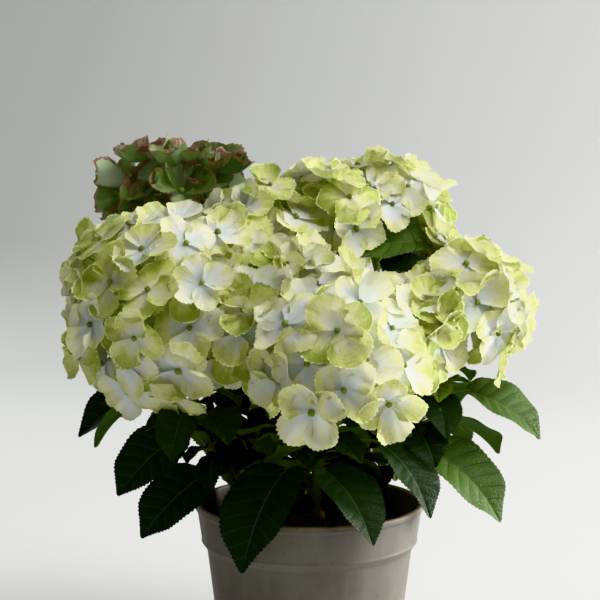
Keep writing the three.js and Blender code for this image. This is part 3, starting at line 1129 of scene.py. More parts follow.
@dataclass(frozen=True)
class Leaf:
    """A leaf of a shoot, with angles in degrees and lengths in millimetres."""

    at: float  # its place on the cane's path, as a share
    turn: float  # the compass turn of its stalk
    length: float
    slope: float  # of its blade, from tip to foot
    stalk: float = 17
    swing: float = 0  # how far its blade turns away from its stalk
    roll: float = 0
    tint: LeafTint | None = None  # drawn by chance where it is none


LEAF_FINISHES = (
    LeafFinish("leaf_deep", rgb(31, 43, 29)),
    LeafFinish("leaf_dark", rgb(38, 53, 33)),
    LeafFinish("leaf_mid", rgb(74, 97, 47)),
    LeafFinish("leaf_bright", rgb(114, 139, 58), roughness=0.5),
    LeafFinish("leaf_rib", rgb(92, 112, 72), roughness=0.5, relief=0.1),
    LeafFinish("leaf_vein", rgb(48, 64, 39), roughness=0.5, relief=0.1),
    LeafFinish("leaf_under", rgb(72, 98, 44), roughness=0.65, coat=0.0),
    LeafFinish("leaf_under_rib", rgb(116, 136, 78), roughness=0.6, relief=0.1, coat=0.0),
)


def turned(axis: int, degrees: float) -> Array:
    """The matrix of a turn.

    Args:
        axis: What it turns about: X, Y or Z, numbered 0 to 2.
        degrees: How far it turns.

    Returns:
        The matrix.
    """
    cosine, sine = math.cos(math.radians(degrees)), math.sin(math.radians(degrees))
    first, second = (axis + 1) % 3, (axis + 2) % 3
    matrix = np.eye(3)
    matrix[first, first] = matrix[second, second] = cosine
    matrix[first, second], matrix[second, first] = -sine, sine
    return matrix


@dataclass
class LeafBlade:
    """A serrated blade from the origin out along +X, bent over an arc and quilted between side veins."""

    length: float
    width: float = 0.62
    bend: float = 27
    fold: float = 0.12
    veins: int = 8
    sweep: float = 0.2  # how far towards the tip a side vein runs, as a share of the length
    thick: float = 0.5
    midrib: float = 1.6  # how much thicker the blade is at its rib
    tooth: float = 1.1
    quilt: float = 0.95
    wave: float = 1.1
    gutter: float = 0.5  # how deep the rib lies
    broadest: float = 0.42
    shoulder: float = 0.58  # how slim the blade is towards its foot
    taper: float = 0.8  # how slim it is towards its tip
    drawn_out: float = 0.38  # how much slimmer still the tip itself is
    # Places between two side veins, of which every other one bears a tooth, and places from rib to edge.
    rows: tuple[float, ...] = (0, 0.07, 0.25, 0.42, 0.58, 0.75)
    columns: tuple[float, ...] = (0.017, 0.2, 0.4, 0.6, 0.8, 0.93, 1)

    def half_width(self, along: Array) -> Array:
        """The half width of the blade, ovate with a drawn-out tip.

        Args:
            along: Shares of the length.

        Returns:
            A half width for each share.
        """
        shape = np.clip(along, 0, 1) ** self.shoulder * np.clip(1 - along, 0, 1) ** self.taper
        shape = shape * (1 - self.drawn_out * ease(0.72, 0.97, along))
        fullest = self.broadest**self.shoulder * (1 - self.broadest) ** self.taper
        return shape / fullest * self.width * self.length / 2

    def arc(self, along: Array, above: Array) -> tuple[Array, Array]:
        """The place over the midrib's arc.

        Args:
            along: Share of the length.
            above: Height over the arc.

        Returns:
            X and Z.
        """
        lift = math.radians(self.bend)
        pitch = lift - 2 * lift * along
        radius = self.length / (-2 * lift)
        x = radius * (np.sin(pitch) - math.sin(lift)) - above * np.sin(pitch)
        z = -radius * (np.cos(pitch) - math.cos(lift)) + above * np.cos(pitch)
        return x, z

    def net(self, across: Array, phase: float) -> tuple[Array, Array]:
        """The net of points on the upper face.

        Args:
            across: Place of each column, from -1 to 1.
            phase: Picks its waves.

        Returns:
            The points, and the share of the length at each.
        """
        rows, out = np.array(self.rows), np.abs(across)
        steps = np.append((np.arange(self.veins)[:, None] + rows) / self.veins, 1.0)
        part = np.append(np.tile(rows, self.veins), 0.0)[:, None]
        odd = np.append(np.tile(np.arange(len(rows)) % 2, self.veins), 0)[:, None]
        station = (0.015 + 0.975 * steps)[:, None]
        edge = station + self.sweep * np.sin(np.pi * station) ** 0.8 * (1 - station) ** 0.4
        edge = np.minimum(edge, 0.992)
        along = station + (edge - station) * out**1.25
        half = self.half_width(edge)
        teeth = self.tooth * odd * out**14 * np.minimum(1, half / 6)
        y = np.sign(across) * (out * half + teeth)
        along = along + teeth * 0.55 / self.length
        share = np.minimum(1, half / (0.2 * self.length))
        puff = np.abs(np.sin(np.pi * (part - 0.04))) ** 0.75 * (1 - out**5) * ease(0.03, 0.2, out)
        wave = out**2.2 * np.sin(FULL_TURN * (2.3 * along + 0.15 * np.sign(across)) + phase) * share
        above = self.fold * self.width * self.length * out**1.3 * share
        above = above + self.quilt * puff * share + self.wave * wave
        above = above - self.gutter * (1 - ease(0.0, 0.1, out))
        x, z = self.arc(along, above)
        return np.stack([x, y, z], axis=-1), along

    def tints(self, out: Array, tint: LeafTint) -> tuple[Array, Array]:
        """The finish numbers of the blade's faces.

        Args:
            out: How far out each column is, from 0 to 1.
            tint: The green of its upper face.

        Returns:
            Those of the upper and of the lower faces.
        """
        rows, columns = self.veins * len(self.rows), len(out) - 1
        upper = np.full((rows, columns), tint.value)
        lower = np.full_like(upper, LeafTint.UNDER.value)
        vein = (np.arange(rows) % len(self.rows) == 0)[:, None]
        upper[vein & ((out[:-1] + out[1:]) / 2 < 0.88)] = LeafTint.VEIN.value
        rib = slice(columns // 2 - 1, columns // 2 + 1)
        upper[:, rib] = LeafTint.RIB.value
        lower[:, rib] = LeafTint.UNDER_RIB.value
        return upper, lower

    def build(self, heap: Heap, matrix: Array, heel: Array, tint: LeafTint, phase: float) -> None:
        """Adds the blade.

        Args:
            heap: Where it goes.
            matrix: Its turn.
            heel: Where it starts.
            tint: The green of its upper face.
            phase: Picks its waves.
        """
        across = np.array([-c for c in self.columns[::-1]] + [0] + list(self.columns))
        out = np.abs(across)
        top, along = self.net(across, phase)
        inside = np.zeros(top.shape[:2])
        inside[1:-1, 1:-1] = 1
        normals = surface_normals(top)
        normals *= np.sign(normals[..., 2:] + 1e-9)
        depth = inside * self.thick * (1 + self.midrib * (1 - ease(0, 0.12, out)))
        chart = np.stack([along, np.broadcast_to(across, along.shape)], -1)
        upper, lower = self.tints(out, tint)
        under = top - normals * depth[..., None]
        for points, tints, flip in ((top, upper, False), (under, lower, True)):
            faces = grid(*top.shape[:2], flip=flip)
            heap.add(points.reshape(-1, 3) @ matrix.T + heel, [faces], [tints], chart)


@dataclass
class Head:
    """A cane's head of flowers, the path of the cane, and the leaves on it."""

    name: str
    centre: tuple[float, float, float]
    across: float
    tall: float
    faces: tuple[float, float, float]
    florets: int
    inner: int
    green: float  # how far its florets have greened, where 1 is half of them
    root: str
    bend: tuple[float, float, float]
    leafy: float
    seed: int
    leaves: tuple[Leaf, ...]
    old: bool = False
    inset: float = 7.5  # how deep its florets sit inside its reach
    skirt: float = 125  # how far round from its crown its florets reach, in degrees
    brim: float = 1.0  # how high florets fill the valleys beside it, where 1 is on the heads' reach
    seat: float = 0.88  # how deep the cane ends in its heart, as a share of the heart

    def __post_init__(self) -> None:
        """Lays out the cane's path, from its fork into the head's heart."""
        self.axis = unit(self.faces)
        self.middle = np.array(self.centre, float)
        foot = self.middle - self.axis * self.seat * HEART * self.tall
        self.path = Bow((*ROOTS[self.root][1], STEM_TOP), self.bend, foot)
        self.basis = facing(self.axis, 0)

    def depth(self, point: Array) -> float:
        """How deep a point lies in the head.

        Args:
            point: The point.

        Returns:
            Its distance from the centre, where 1 is on the head's reach.
        """
        away = point - self.middle
        along = float(away @ self.axis)
        beside = math.sqrt(max(0.0, float(away @ away) - along * along))
        return math.hypot(along / self.tall, beside / self.across)


HEADS = (
    Head(
        name="left",
        centre=(-106, -40, 298),
        across=75,
        tall=76,
        faces=(-0.42, -0.3, 0.86),
        florets=40,
        inner=33,
        green=1.1,
        root="left",
        bend=(-88, -22, 200),
        leafy=0.17,
        seed=11,
        leaves=(
            Leaf(0.24, -151, 71, -39, roll=-36),
            Leaf(0.24, 40, 80, -34),
            Leaf(0.54, -150, 70, -38, roll=-36),
            Leaf(0.54, 24, 66, -28),
            Leaf(0.62, -70, 60, -14),
            Leaf(0.62, 112, 78, -34),
            Leaf(0.76, -104, 52, -46),
            Leaf(0.8, 172, 76, -38),
        ),
        skirt=140,
    ),
    Head(
        name="front",
        centre=(19, -75, 271),
        across=71,
        tall=62,
        faces=(0.1, -0.48, 0.87),
        florets=29,
        inner=24,
        green=1.0,
        root="centre",
        bend=(2, -40, 190),
        leafy=0.2,
        seed=23,
        leaves=(
            Leaf(0.38, -155, 94, -44, stalk=23, swing=36),
            # The DARK greens given to these leaves are painted shade: they hang in shade beneath the head.
            Leaf(0.38, -80, 78, -37, stalk=15, swing=26, tint=LeafTint.DARK),
            Leaf(0.55, 2, 70, -46, stalk=44, swing=-46, tint=LeafTint.DARK),
            Leaf(0.55, 170, 60, -8),
            Leaf(0.6, -20, 54, -8, stalk=24, roll=20),
            Leaf(0.76, 60, 60, -20),
        ),
        inset=12,
        skirt=117,
        brim=1.1,
    ),
    Head(
        name="right",
        centre=(116, 5, 297),
        across=56,
        tall=51,
        faces=(0.42, -0.16, 0.89),
        florets=20,
        inner=16,
        green=1.2,
        root="right",
        bend=(95, 2, 218),
        leafy=0.17,
        seed=37,
        leaves=(
            # The MID and BRIGHT greens given here are painted light: the key light falls on these leaves
            # from the right.
            Leaf(0.37, -25, 82, -44, stalk=18, swing=9, roll=30, tint=LeafTint.MID),
            Leaf(0.48, 24, 70, -28, tint=LeafTint.BRIGHT),
            Leaf(0.5, -100, 33.6, -30),
            Leaf(0.64, 3, 70, -33, stalk=30, swing=-9, roll=26, tint=LeafTint.MID),
            Leaf(0.66, -70, 50, -30, stalk=12, swing=-13),
            Leaf(0.66, 66, 60, -24, tint=LeafTint.BRIGHT),
            Leaf(0.82, 120, 60, -20),
            Leaf(0.9, 160, 60, 34, stalk=40, roll=-50, tint=LeafTint.DARK),
        ),
    ),
    Head(
        name="top",
        centre=(60, 85, 357),
        across=65,
        tall=59,
        faces=(0.18, 0.2, 0.96),
        florets=23,
        inner=19,
        green=1.1,
        root="right",
        bend=(52, 62, 235),
        leafy=0.2,
        seed=41,
        leaves=(
            Leaf(0.28, 72, 88, -42),
            Leaf(0.42, 24, 90, -38),
            Leaf(0.42, 165, 74, -30),
            Leaf(0.58, 108, 90, -38),
            Leaf(0.74, 50, 82, -34),
            Leaf(0.74, -150, 60, -16),
            Leaf(0.86, -126, 52, -2),
            Leaf(0.84, -41, 78, -10, stalk=70, swing=-134, roll=-35, tint=LeafTint.MID),
        ),
        inset=15,
        brim=1.17,
    ),
    Head(
        name="middle",
        centre=(-31, 25, 347),
        across=53,
        tall=54,
        faces=(-0.08, -0.12, 0.99),
        florets=15,
        inner=14,
        green=1.4,
        root="centre",
        bend=(-24, 20, 220),
        leafy=0.2,
        seed=53,
        leaves=(
            Leaf(0.3, 104, 84, -36),
            Leaf(0.46, 170, 54.6, -28),
            Leaf(0.46, 10, 66, -24),
            Leaf(0.62, 80, 82, -30),
            Leaf(0.62, -96, 43.4, -20),
            Leaf(0.78, 128, 74, -28),
        ),
        inset=14,
    ),
    Head(
        name="antique",
        centre=(-104, 90, 376),
        across=59,
        tall=46,
        faces=(-0.3, 0.2, 0.93),
        florets=13,
        inner=7,
        green=1.0,
        root="left",
        bend=(-95, 62, 220),
        leafy=0.2,
        seed=67,
        leaves=(
            Leaf(0.3, 132, 84, -40),
            Leaf(0.42, -166, 94, -26, stalk=20, roll=-26),
            Leaf(0.42, 60, 86, -38),
            Leaf(0.58, 110, 88, -38),
            Leaf(0.58, -130, 60, -26),
            Leaf(0.74, 176, 84, -42),
            Leaf(0.74, 20, 72, -20),
            Leaf(0.88, 80, 70, -36),
        ),
        old=True,
        inset=13,
    ),
)


CORE = np.array([0.0, 70.0, 240.0])  # the middle of the crown
HOLLOW = np.array([66.0, 20.0, 337.0])  # the middle of the leafy gap in the canopy where no floret sits
HOLLOW_REACH = 35


@dataclass
class LeafyShoot:
    """A head's cane with its leaf stalks, its leaves, and the small leaves in their axils."""

    head: Head
    foot: float = 3.6
    leafy: float = 3.2
    top: float = 2.5
    prong: float = 10
    lift: float = 26  # how much steeper a leaf stalk rises than the foot of its blade
    bend: float = 27
    small: int = 12  # small leaves
    inner: int = 13  # leaves that turn in beneath the canopy
    node: float = 0.75  # how far the cane swells where a leaf stalk leaves it
    sides: int = 14

    def rows(self) -> list[Leaf]:
        """The leaves of the shoot: the head's own, and small ones grown by the golden angle.

        Returns:
            The leaves.
        """
        dice = Dice(self.head.seed + 500)
        small = []
        for number in range(self.small):
            at = 0.34 + 0.5 * (number + dice.next()) / self.small
            turn = math.degrees(number * GOLDEN_ANGLE) + self.head.seed * 9
            length, slope = dice.between(24, 42), dice.between(-34, 6)
            stalk, roll = dice.between(7, 12), dice.between(-15, 15)
            small.append(Leaf(at, turn, length, slope, stalk, roll=roll))
        for number in range(self.inner):
            at = 0.1 + 0.56 * (number + dice.next()) / self.inner
            x, y, _ = self.head.path.at(at)
            turn = math.degrees(math.atan2(-y, -x)) + dice.between(-105, 105)
            length, slope = dice.between(34, 56), dice.between(-44, -4)
            roll, stalk = dice.between(-25, 25), dice.between(9, 16)
            # Leaves beneath the canopy all take the deepest green as painted shade.
            small.append(Leaf(at, turn, length, slope, stalk, roll=roll, tint=LeafTint.DEEP))
        return [*self.head.leaves, *small]

    def build(self, greens: Sequence[bpy.types.Material], skins: Sequence[bpy.types.Material]) -> None:
        """Makes the cane with its leaf stalks, and the leaves.

        Args:
            greens: Materials by leaf tint.
            skins: Materials of the cane and of the leaf stalks.
        """
        head, path = self.head, self.head.path
        shares = np.linspace(self.prong / path.length * 0.9, 0.97, 70)
        radii = np.interp(shares, [0, head.leafy, 0.9, 1], [self.foot, self.leafy, self.top, self.top])
        for leaf in head.leaves:
            radii = radii + self.node * np.exp(-(((shares - leaf.at) * path.length / 2.6) ** 2))
        turns = np.arange(self.sides) / self.sides * FULL_TURN
        waves = 0.03 * ripple(path.at(shares), head.seed, 16, 2)[:, None]
        ribs = 1 + 0.035 * np.cos(6 * turns)[None, :] + waves
        stalks, blades = Heap(), Heap()
        limb(stalks, path.at(shares), radii[:, None] * ribs, self.sides)
        dice = Dice(head.seed + 900)
        for leaf in self.rows():
            self.leaf(leaf, stalks, blades, dice)
        name = head.name
        dress(stalks.piece(f"canes_{name}", skins), "cane", f"cane_{name}")
        dress(blades.piece(f"leaves_{name}", greens), "foliage", f"leafy_shoot_{name}")

    def leaf(self, leaf: Leaf, stalks: Heap, blades: Heap, dice: Dice) -> None:
        """Adds one leaf.

        Args:
            leaf: Its place and size.
            stalks: Where its stalk goes.
            blades: Where its blade goes.
            dice: Draws its tint and waves.
        """
        root = self.head.path.at(leaf.at)
        rise = math.radians(leaf.slope + self.bend + self.lift)
        heading = math.radians(leaf.turn)
        out = unit([math.cos(heading), math.sin(heading), math.tan(rise)])
        heel = root + out * leaf.stalk
        matrix = turned(2, leaf.turn + leaf.swing) @ turned(1, -leaf.slope) @ turned(0, leaf.roll)
        small = leaf not in self.head.leaves
        chance = dice.next()
        tint = LeafTint.DEEP if chance < 0.35 else LeafTint.DARK if chance < 0.72 else LeafTint.MID
        if small and dice.next() < 0.45:
            tint = LeafTint.BRIGHT
        tint = leaf.tint or tint
        blade = LeafBlade(leaf.length, dice.between(0.53, 0.63))
        if small:
            blade = LeafBlade(leaf.length, veins=5, thick=0.35, columns=(0.03, 0.35, 0.7, 0.92, 1))
        blade.build(blades, matrix, heel, tint, dice.between(0, FULL_TURN))
        bend = math.radians(self.bend)
        start = matrix @ np.array([math.cos(bend), 0, math.sin(bend)])
        mouth = heel + start * leaf.length * 0.05
        stem = Bow(root, heel - start * leaf.stalk * 0.35, mouth)
        steps = np.linspace(0, 1, 12)
        size = 0.6 if small else 1.0
        radii = size * np.interp(steps, [0, 0.12, 0.5, 1], [2.1, 1.5, 1.2, 0.9])
        limb(stalks, stem.at(steps), radii, 9, 1)


# --- the florets ---


class FreshTint(Enum):
    """The finishes of a fresh sepal, by number, from its white heart to its lime edge."""

    HEART = 0
    WHITE = 1
    MILK = 2
    IVORY = 3
    CREAM = 4
    BUTTER = 5
    PALE_LIME = 6
    LIME = 7
    BRIGHT_LIME = 8
    DEEP_LIME = 9
    GREEN = 10
    DEEP_GREEN = 11
    MARGIN = 12


class OldTint(Enum):
    """The finishes of an old sepal, by number, from sage green to wine red."""

    SAGE = 0
    GREY_GREEN = 1
    GREEN = 2
    MOSS = 3
    DARK_GREEN = 4
    OLIVE = 5
    ROSE_BROWN = 6
    WINE = 7
    MARGIN = 8


FRESH_FINISHES = tuple(
    PetalFinish(f"petal_{tint.name.lower()}", rgb(*colour))
    for tint, colour in (
        (FreshTint.HEART, (240, 244, 247)),
        (FreshTint.WHITE, (241, 244, 238)),
        (FreshTint.MILK, (240, 242, 225)),
        (FreshTint.IVORY, (239, 240, 210)),
        (FreshTint.CREAM, (236, 237, 192)),
        (FreshTint.BUTTER, (231, 233, 171)),
        (FreshTint.PALE_LIME, (222, 227, 150)),
        (FreshTint.LIME, (213, 220, 139)),
        (FreshTint.BRIGHT_LIME, (202, 211, 128)),
        (FreshTint.DEEP_LIME, (190, 202, 114)),
        (FreshTint.GREEN, (178, 192, 102)),
        (FreshTint.DEEP_GREEN, (163, 179, 89)),
        # The pale cream margin is partly the sepal's own pale edge and partly a painted rim highlight.
        (FreshTint.MARGIN, (237, 238, 186)),
    )
)
OLD_FINISHES = tuple(
    PetalFinish(f"old_{tint.name.lower()}", rgb(*colour), roughness=0.6, through=0.2)
    for tint, colour in (
        (OldTint.SAGE, (180, 196, 162)),
        (OldTint.GREY_GREEN, (152, 172, 130)),
        (OldTint.GREEN, (124, 149, 92)),
        (OldTint.MOSS, (98, 122, 68)),
        (OldTint.DARK_GREEN, (66, 88, 50)),
        (OldTint.OLIVE, (126, 119, 82)),
        (OldTint.ROSE_BROWN, (156, 132, 114)),
        (OldTint.WINE, (118, 88, 76)),
        (OldTint.MARGIN, (150, 116, 84)),
    )
)


@dataclass
class Floret:
    """One floret of four sepals."""

    place: Array
    axes: Array  # it faces along the second
    reach: float
    lift: float  # how far its sepals rise, as a share of their reach
    greening: float  # from 0 to 1
    depth: float  # how far it lies beneath the outermost florets
    lifts: Array  # how much more each sepal rises
    shares: Array  # the reach of each sepal as a share of the floret's


@dataclass
class SepalPattern:
    """The net of points that each sepal is spread on.

    It is coarse near the heart and fine towards the toothed edge, where its colours run in streaks. A point
    has its share of the reach, its place across from -1 to 1, and 1 where it lies in a notch between teeth.
    """

    columns: int = 8
    finer: int = 4
    inner: tuple[float, ...] = (0.05, 0.2, 0.35, 0.5)
    outer: tuple[float, ...] = (0.6, 0.7, 0.8, 0.885, 0.95, 1.0)
    half: float = math.radians(60)

    def __post_init__(self) -> None:
        """Numbers the points and the faces."""
        self.fine = self.columns * self.finer
        coarse, fine = np.linspace(-1, 1, self.columns + 1), np.linspace(-1, 1, self.fine + 1)
        start = len(coarse) * len(self.inner)
        self.rho = np.concatenate([np.repeat(self.inner, len(coarse)), np.repeat(self.outer, len(fine))])
        self.v = np.concatenate([np.tile(coarse, len(self.inner)), np.tile(fine, len(self.outer))])
        notches = np.tile(np.arange(self.fine + 1) % 2, len(self.outer))
        self.notch = np.concatenate([np.zeros(start), notches]) * (self.rho > 0.99)
        self.chart = np.stack([self.rho, self.v], axis=-1)
        ring = start - len(coarse) + np.arange(len(coarse))
        seam = []
        for column in range(self.columns):
            first = start + column * self.finer
            seam += [(ring[column], first + k + 1, first + k) for k in range(self.finer)]
            seam.append((ring[column], ring[column + 1], first + self.finer))
        self.faces = [
            grid(len(self.inner), len(coarse), flip=True),
            start + grid(len(self.outer), len(fine), flip=True),
            np.array(seam),
        ]


PATTERN = SepalPattern()


@dataclass
class Sepal:
    """One sepal of a floret that faces +Y: a broad fan, cupped, waved and toothed."""

    heading: float
    reach: float
    lift: float
    over: float  # 1 if it lies over its neighbours, -1 if under them
    round_off: float
    point: float
    curl: float
    frill: float
    phases: Array
    spread_to: float = 90 / 71  # how much of a quarter turn its half angle takes up
    tooth: float = 0.042
    uneven: float = 0.018  # how far its teeth differ
    pleat: float = 0.12
    gap: float = 0.3  # how far it lies over or under its neighbours, in millimetres
    stand: float = 0.5  # how far it stands off its floret's middle, in millimetres

    @staticmethod
    def drawn(
        floret: Floret, number: int, heading: float, old: bool, chance: np.random.Generator
    ) -> "Sepal":
        """A sepal with its chance shape.

        Args:
            floret: The floret that it belongs to.
            number: Its number from 0 to 3.
            heading: The way it points.
            old: Whether it has aged.
            chance: Draws the shape.

        Returns:
            The sepal.
        """
        over = 1.0 if number % 2 == 0 else -1.0
        return Sepal(
            heading=heading,
            reach=floret.reach * floret.shares[number] * (1.0 if over > 0 else 0.97),
            lift=floret.lift + floret.lifts[number] + 0.02 * over,
            over=over,
            round_off=chance.uniform(0.3, 0.52),
            point=chance.uniform(0.0, 0.2),
            curl=chance.uniform(-0.2, 0.3) if old else chance.uniform(-0.2, 0.18),
            frill=chance.uniform(0.6, 1.7) * (1.1 if old else 1.0),
            phases=chance.uniform(0, FULL_TURN, 5),
        )

    def spread(self) -> Array:
        """Spreads the sepal out from the floret's middle.

        Returns:
            The places of its points.
        """
        rho, v, phases = PATTERN.rho, PATTERN.v, self.phases
        angle = v * PATTERN.half
        edge = np.cos(angle * self.spread_to) ** self.round_off
        edge = edge * (1 + self.point * (np.cos(v * math.pi / 2) ** 3 - 0.4))
        lobes = 0.024 * np.sin(3.1 * v + phases[0]) + 0.018 * np.sin(9.3 * v + phases[1])
        teeth = (self.tooth + self.uneven * np.sin(5 * v + phases[4])) * PATTERN.notch
        radius = self.reach * rho * edge * (1 + rho**4 * lobes) * (1 - teeth)
        frill = 0.05 * rho**2.5 * np.sin(3.6 * v + phases[2])
        frill = frill + 0.035 * rho**4 * np.sin(9.5 * v + phases[3])
        frill = frill + 0.014 * rho**8 * np.sin(21 * v + phases[4])
        pleat = self.pleat * np.cos(v * 8 * math.pi) * ease(0.2, 0.6, rho)
        sides = (0.07 if self.over > 0 else -0.04) * v**2 * rho
        sides = sides - 0.05 * np.sin(math.pi * rho) * (1 - v**2)
        curl = self.curl * ease(0.62, 1, rho) * rho
        rise = self.reach * (self.lift * rho**1.8 + self.frill * frill + sides + curl)
        rise = rise + pleat + self.gap * self.over + self.stand
        turn = self.heading + angle
        return np.stack([radius * np.sin(turn), rise, radius * np.cos(turn)], -1)


@dataclass
class FlowerHead:
    """A round head: florets spread by the golden angle over its dome, on stalks that fork from its heart.

    Two heads nearer than a share of their reach have a valley between them, bridged by rows of florets.
    """

    head: Head
    crowded: float = 0.82
    near: float = 1.1
    under: float = 15  # how far beneath the florets of a valley a second row lies
    sink: float = 4.6  # how much deeper each second and third floret sits, so that neighbours overlap
    tilt: float = math.radians(18)
    outward: float = 0.6  # how far florets turn away from the plant's core
    reach: tuple[float, float] = (23.0, 29.5)
    button: float = 2.3
    deep: float = 14.0  # how far beneath the outermost florets the inner ones lie
    forks: int = 6  # stalks round the middle one

    def dome_sites(self, count: int, deep: float, dice: Dice) -> Iterable[tuple[Array, Array]]:
        """Places and normals spread by the golden angle over the dome.

        Args:
            count: How many there are.
            deep: How deep they lie beneath the outermost florets.
            dice: Draws a little of each one's depth.

        Yields:
            Each place and the dome's normal there.
        """
        head = self.head
        across, tall = head.across - head.inset - deep, head.tall - head.inset - deep
        for number in range(count):
            cosine = 1 - ((number + 0.5) / count) * (1 - math.cos(math.radians(head.skirt)))
            sine = math.sqrt(1 - cosine * cosine)
            turn = number * GOLDEN_ANGLE + head.seed + (1.1 if deep else 0)
            x, z = sine * math.cos(turn), sine * math.sin(turn)
            sink = number % 3 * self.sink + dice.between(0, 1)
            size = np.array([across, tall, across])
            way = np.array([x, cosine, z])
            yield head.basis @ (way * (size - sink)) + head.middle, unit(head.basis @ (way / size))

    def valley_sites(self) -> Iterable[tuple[Array, Array, float]]:
        """Finds room for florets in the valleys to the heads listed after this one.

        Yields:
            A place, a normal and a depth for each floret.
        """
        head = self.head
        for other in HEADS[HEADS.index(head) + 1 :]:
            link = other.middle - head.middle
            apart = float(np.linalg.norm(link))
            if head.old or other.old or apart > self.near * (head.across + other.across):
                continue
            along = link / apart
            waist = head.middle + link * head.across / (head.across + other.across)
            up = unit(np.cross(np.cross(along, head.axis + other.axis), along))
            for angle in np.radians(np.arange(-90, 91, 30)):
                outward = spin(up, along, angle)
                steps = [waist + outward * step for step in range(20, 90, 2)]
                inside = [at for at in steps if min(head.depth(at), other.depth(at)) < head.brim]
                brim = inside[-1] if inside else steps[0]
                yield brim, outward, 0.0
                yield brim - outward * self.under + along * 8, unit(outward + along * 0.3), self.under

    def floret(self, place: Array, normal: Array, deep: float, dice: Dice) -> Floret:
        """The floret at a place, with its chance shape.

        Args:
            place: Its middle.
            normal: The way the dome faces there.
            deep: How deep it lies beneath the outermost florets.
            dice: Draws the shape.

        Returns:
            The floret.
        """
        old = self.head.old
        tilt = self.tilt * (0.5 if deep else 1.6 if old or dice.next() < 0.2 else 1)
        normal = normal + self.outward * unit(place - CORE)
        normal = unit(normal + math.tan(tilt) * dice.several(3, -1, 1))
        twist = dice.between(0, FULL_TURN)
        low, high = (0.2, 0.62) if old else (0.0, 0.18 if deep else 0.36)
        lift = low + (high - low) * dice.next() ** 1.5
        return Floret(
            place,
            facing(normal, twist),
            dice.between(*self.reach) * (0.9 if deep else 1) * (1.06 if old else 1),
            lift,
            dice.next() ** (1 / self.head.green),
            deep,
            dice.several(4, -0.07, 0.07),
            dice.several(4, 0.86, 1.0),
        )

    def sites(self) -> list[Floret]:
        """Sets out the florets of the dome, of the layer beneath it, and of the valleys.

        Returns:
            The florets.
        """
        head = self.head
        dice = Dice(head.seed)
        florets = []
        for count, deep in ((head.florets, 0.0), (head.inner, self.deep)):
            for place, normal in self.dome_sites(count, deep, dice):
                floret = self.floret(place, normal, deep, dice)
                if all(other.depth(place) > self.crowded for other in HEADS if other is not head):
                    florets.append(floret)
        for place, normal, deep in self.valley_sites():
            floret = self.floret(place, normal, deep, dice)
            if all(other.depth(place) >= self.crowded for other in HEADS):
                florets.append(floret)
        return [floret for floret in florets if np.linalg.norm(floret.place - HOLLOW) > HOLLOW_REACH]

    def sepals(self, heap: Heap, florets: Sequence[Floret]) -> None:
        """Adds the sepals of the florets, four each, as thin sheets.

        Args:
            heap: Where they go.
            florets: The florets.
        """
        chance = np.random.default_rng(self.head.seed)
        tinted = self.old_tints if self.head.old else self.fresh_tints
        for floret in florets:
            for number in range(4):
                heading = number * math.pi / 2 + chance.uniform(-0.12, 0.12)
                places = Sepal.drawn(floret, number, heading, self.head.old, chance).spread()
                tints = tinted(floret, chance)
                heap.add(places @ floret.axes.T + floret.place, PATTERN.faces, tints, PATTERN.chart)

    @staticmethod
    def streaks(chance: np.random.Generator) -> Array:
        """Chance numbers for the fine columns of a sepal, alike in neighbours, about 1 either side of 0."""
        rough = chance.normal(0, 1, PATTERN.fine + 4)
        return np.convolve(rough, [0.25, 0.5, 0.65, 0.5, 0.25], "valid")

    @staticmethod
    def spread_tints(
        level: Callable[[Array], Array], margin: Any, share: float, chance: np.random.Generator
    ) -> list[Array]:
        """The finish numbers of a sepal's upper faces.

        Args:
            level: Gives the numbers at some shares of the reach, for each fine column.
            margin: The finish of the sepal's edge.
            share: How much of the edge has it.
            chance: Draws where.

        Returns:
            A row of numbers for each array of faces.
        """
        fine, columns, split = PATTERN.fine, PATTERN.columns, len(PATTERN.inner)
        rows = np.array([*PATTERN.inner, *PATTERN.outer])
        far = (rows[:-1] + rows[1:]) / 2
        coarse = level(far[: split - 1])[:, PATTERN.finer // 2 :: PATTERN.finer]
        outer = level(far[split:])
        outer[-1] = np.where(chance.random(fine) < share, margin, outer[-1])
        seam = level(far[split - 1 : split])[0].reshape(columns, PATTERN.finer)
        return [coarse, outer, np.concatenate([seam, coarse[-1][:, None]], axis=1)]

    def fresh_tints(self, floret: Floret, chance: np.random.Generator) -> list[Array]:
        """The finish numbers of a fresh sepal: white at its heart, streaked with lime outwards, and further
        towards the greens on florets that lie deep, as painted shade.

        Args:
            floret: The floret.
            chance: Draws the streaks.

        Returns:
            A row of numbers for each array of faces.
        """
        across = np.linspace(-1, 1, PATTERN.fine)
        start = chance.uniform(0.32, 0.56) - 0.2 * floret.greening
        starts = start + 0.075 * self.streaks(chance)
        patch = 0.78 + 0.34 * np.sin(chance.uniform(1, 2.6) * across + chance.uniform(0, FULL_TURN))
        green = (5.4 + 3.6 * floret.greening) * patch * (1 + 0.15 * self.streaks(chance))
        # Florets that lie deep beneath the others start further along the greens: painted shade between the
        # florets.
        base = 4.2 * ease(0.66, 0.92, floret.greening) + (3.6 if floret.depth else 0)

        def level(far: Array) -> Array:
            """The level of greening for each fine column.

            Args:
                far: Shares of the reach.

            Returns:
                A row of levels for each share.
            """
            share = np.clip((far[:, None] - starts[None, :]) / (1.02 - start), 0, 1)
            speckle = chance.uniform(-0.85, 0.85, share.shape) * share**0.5
            level = base * (0.6 + 0.4 * far[:, None]) + green[None, :] * share**0.8 + speckle
            return np.clip(np.round(level), 0, FreshTint.DEEP_GREEN.value)

        # The edge faces take the cream margin: partly the sepal's own pale edge, partly a painted rim
        # highlight.
        return self.spread_tints(level, FreshTint.MARGIN.value, 0.85, chance)

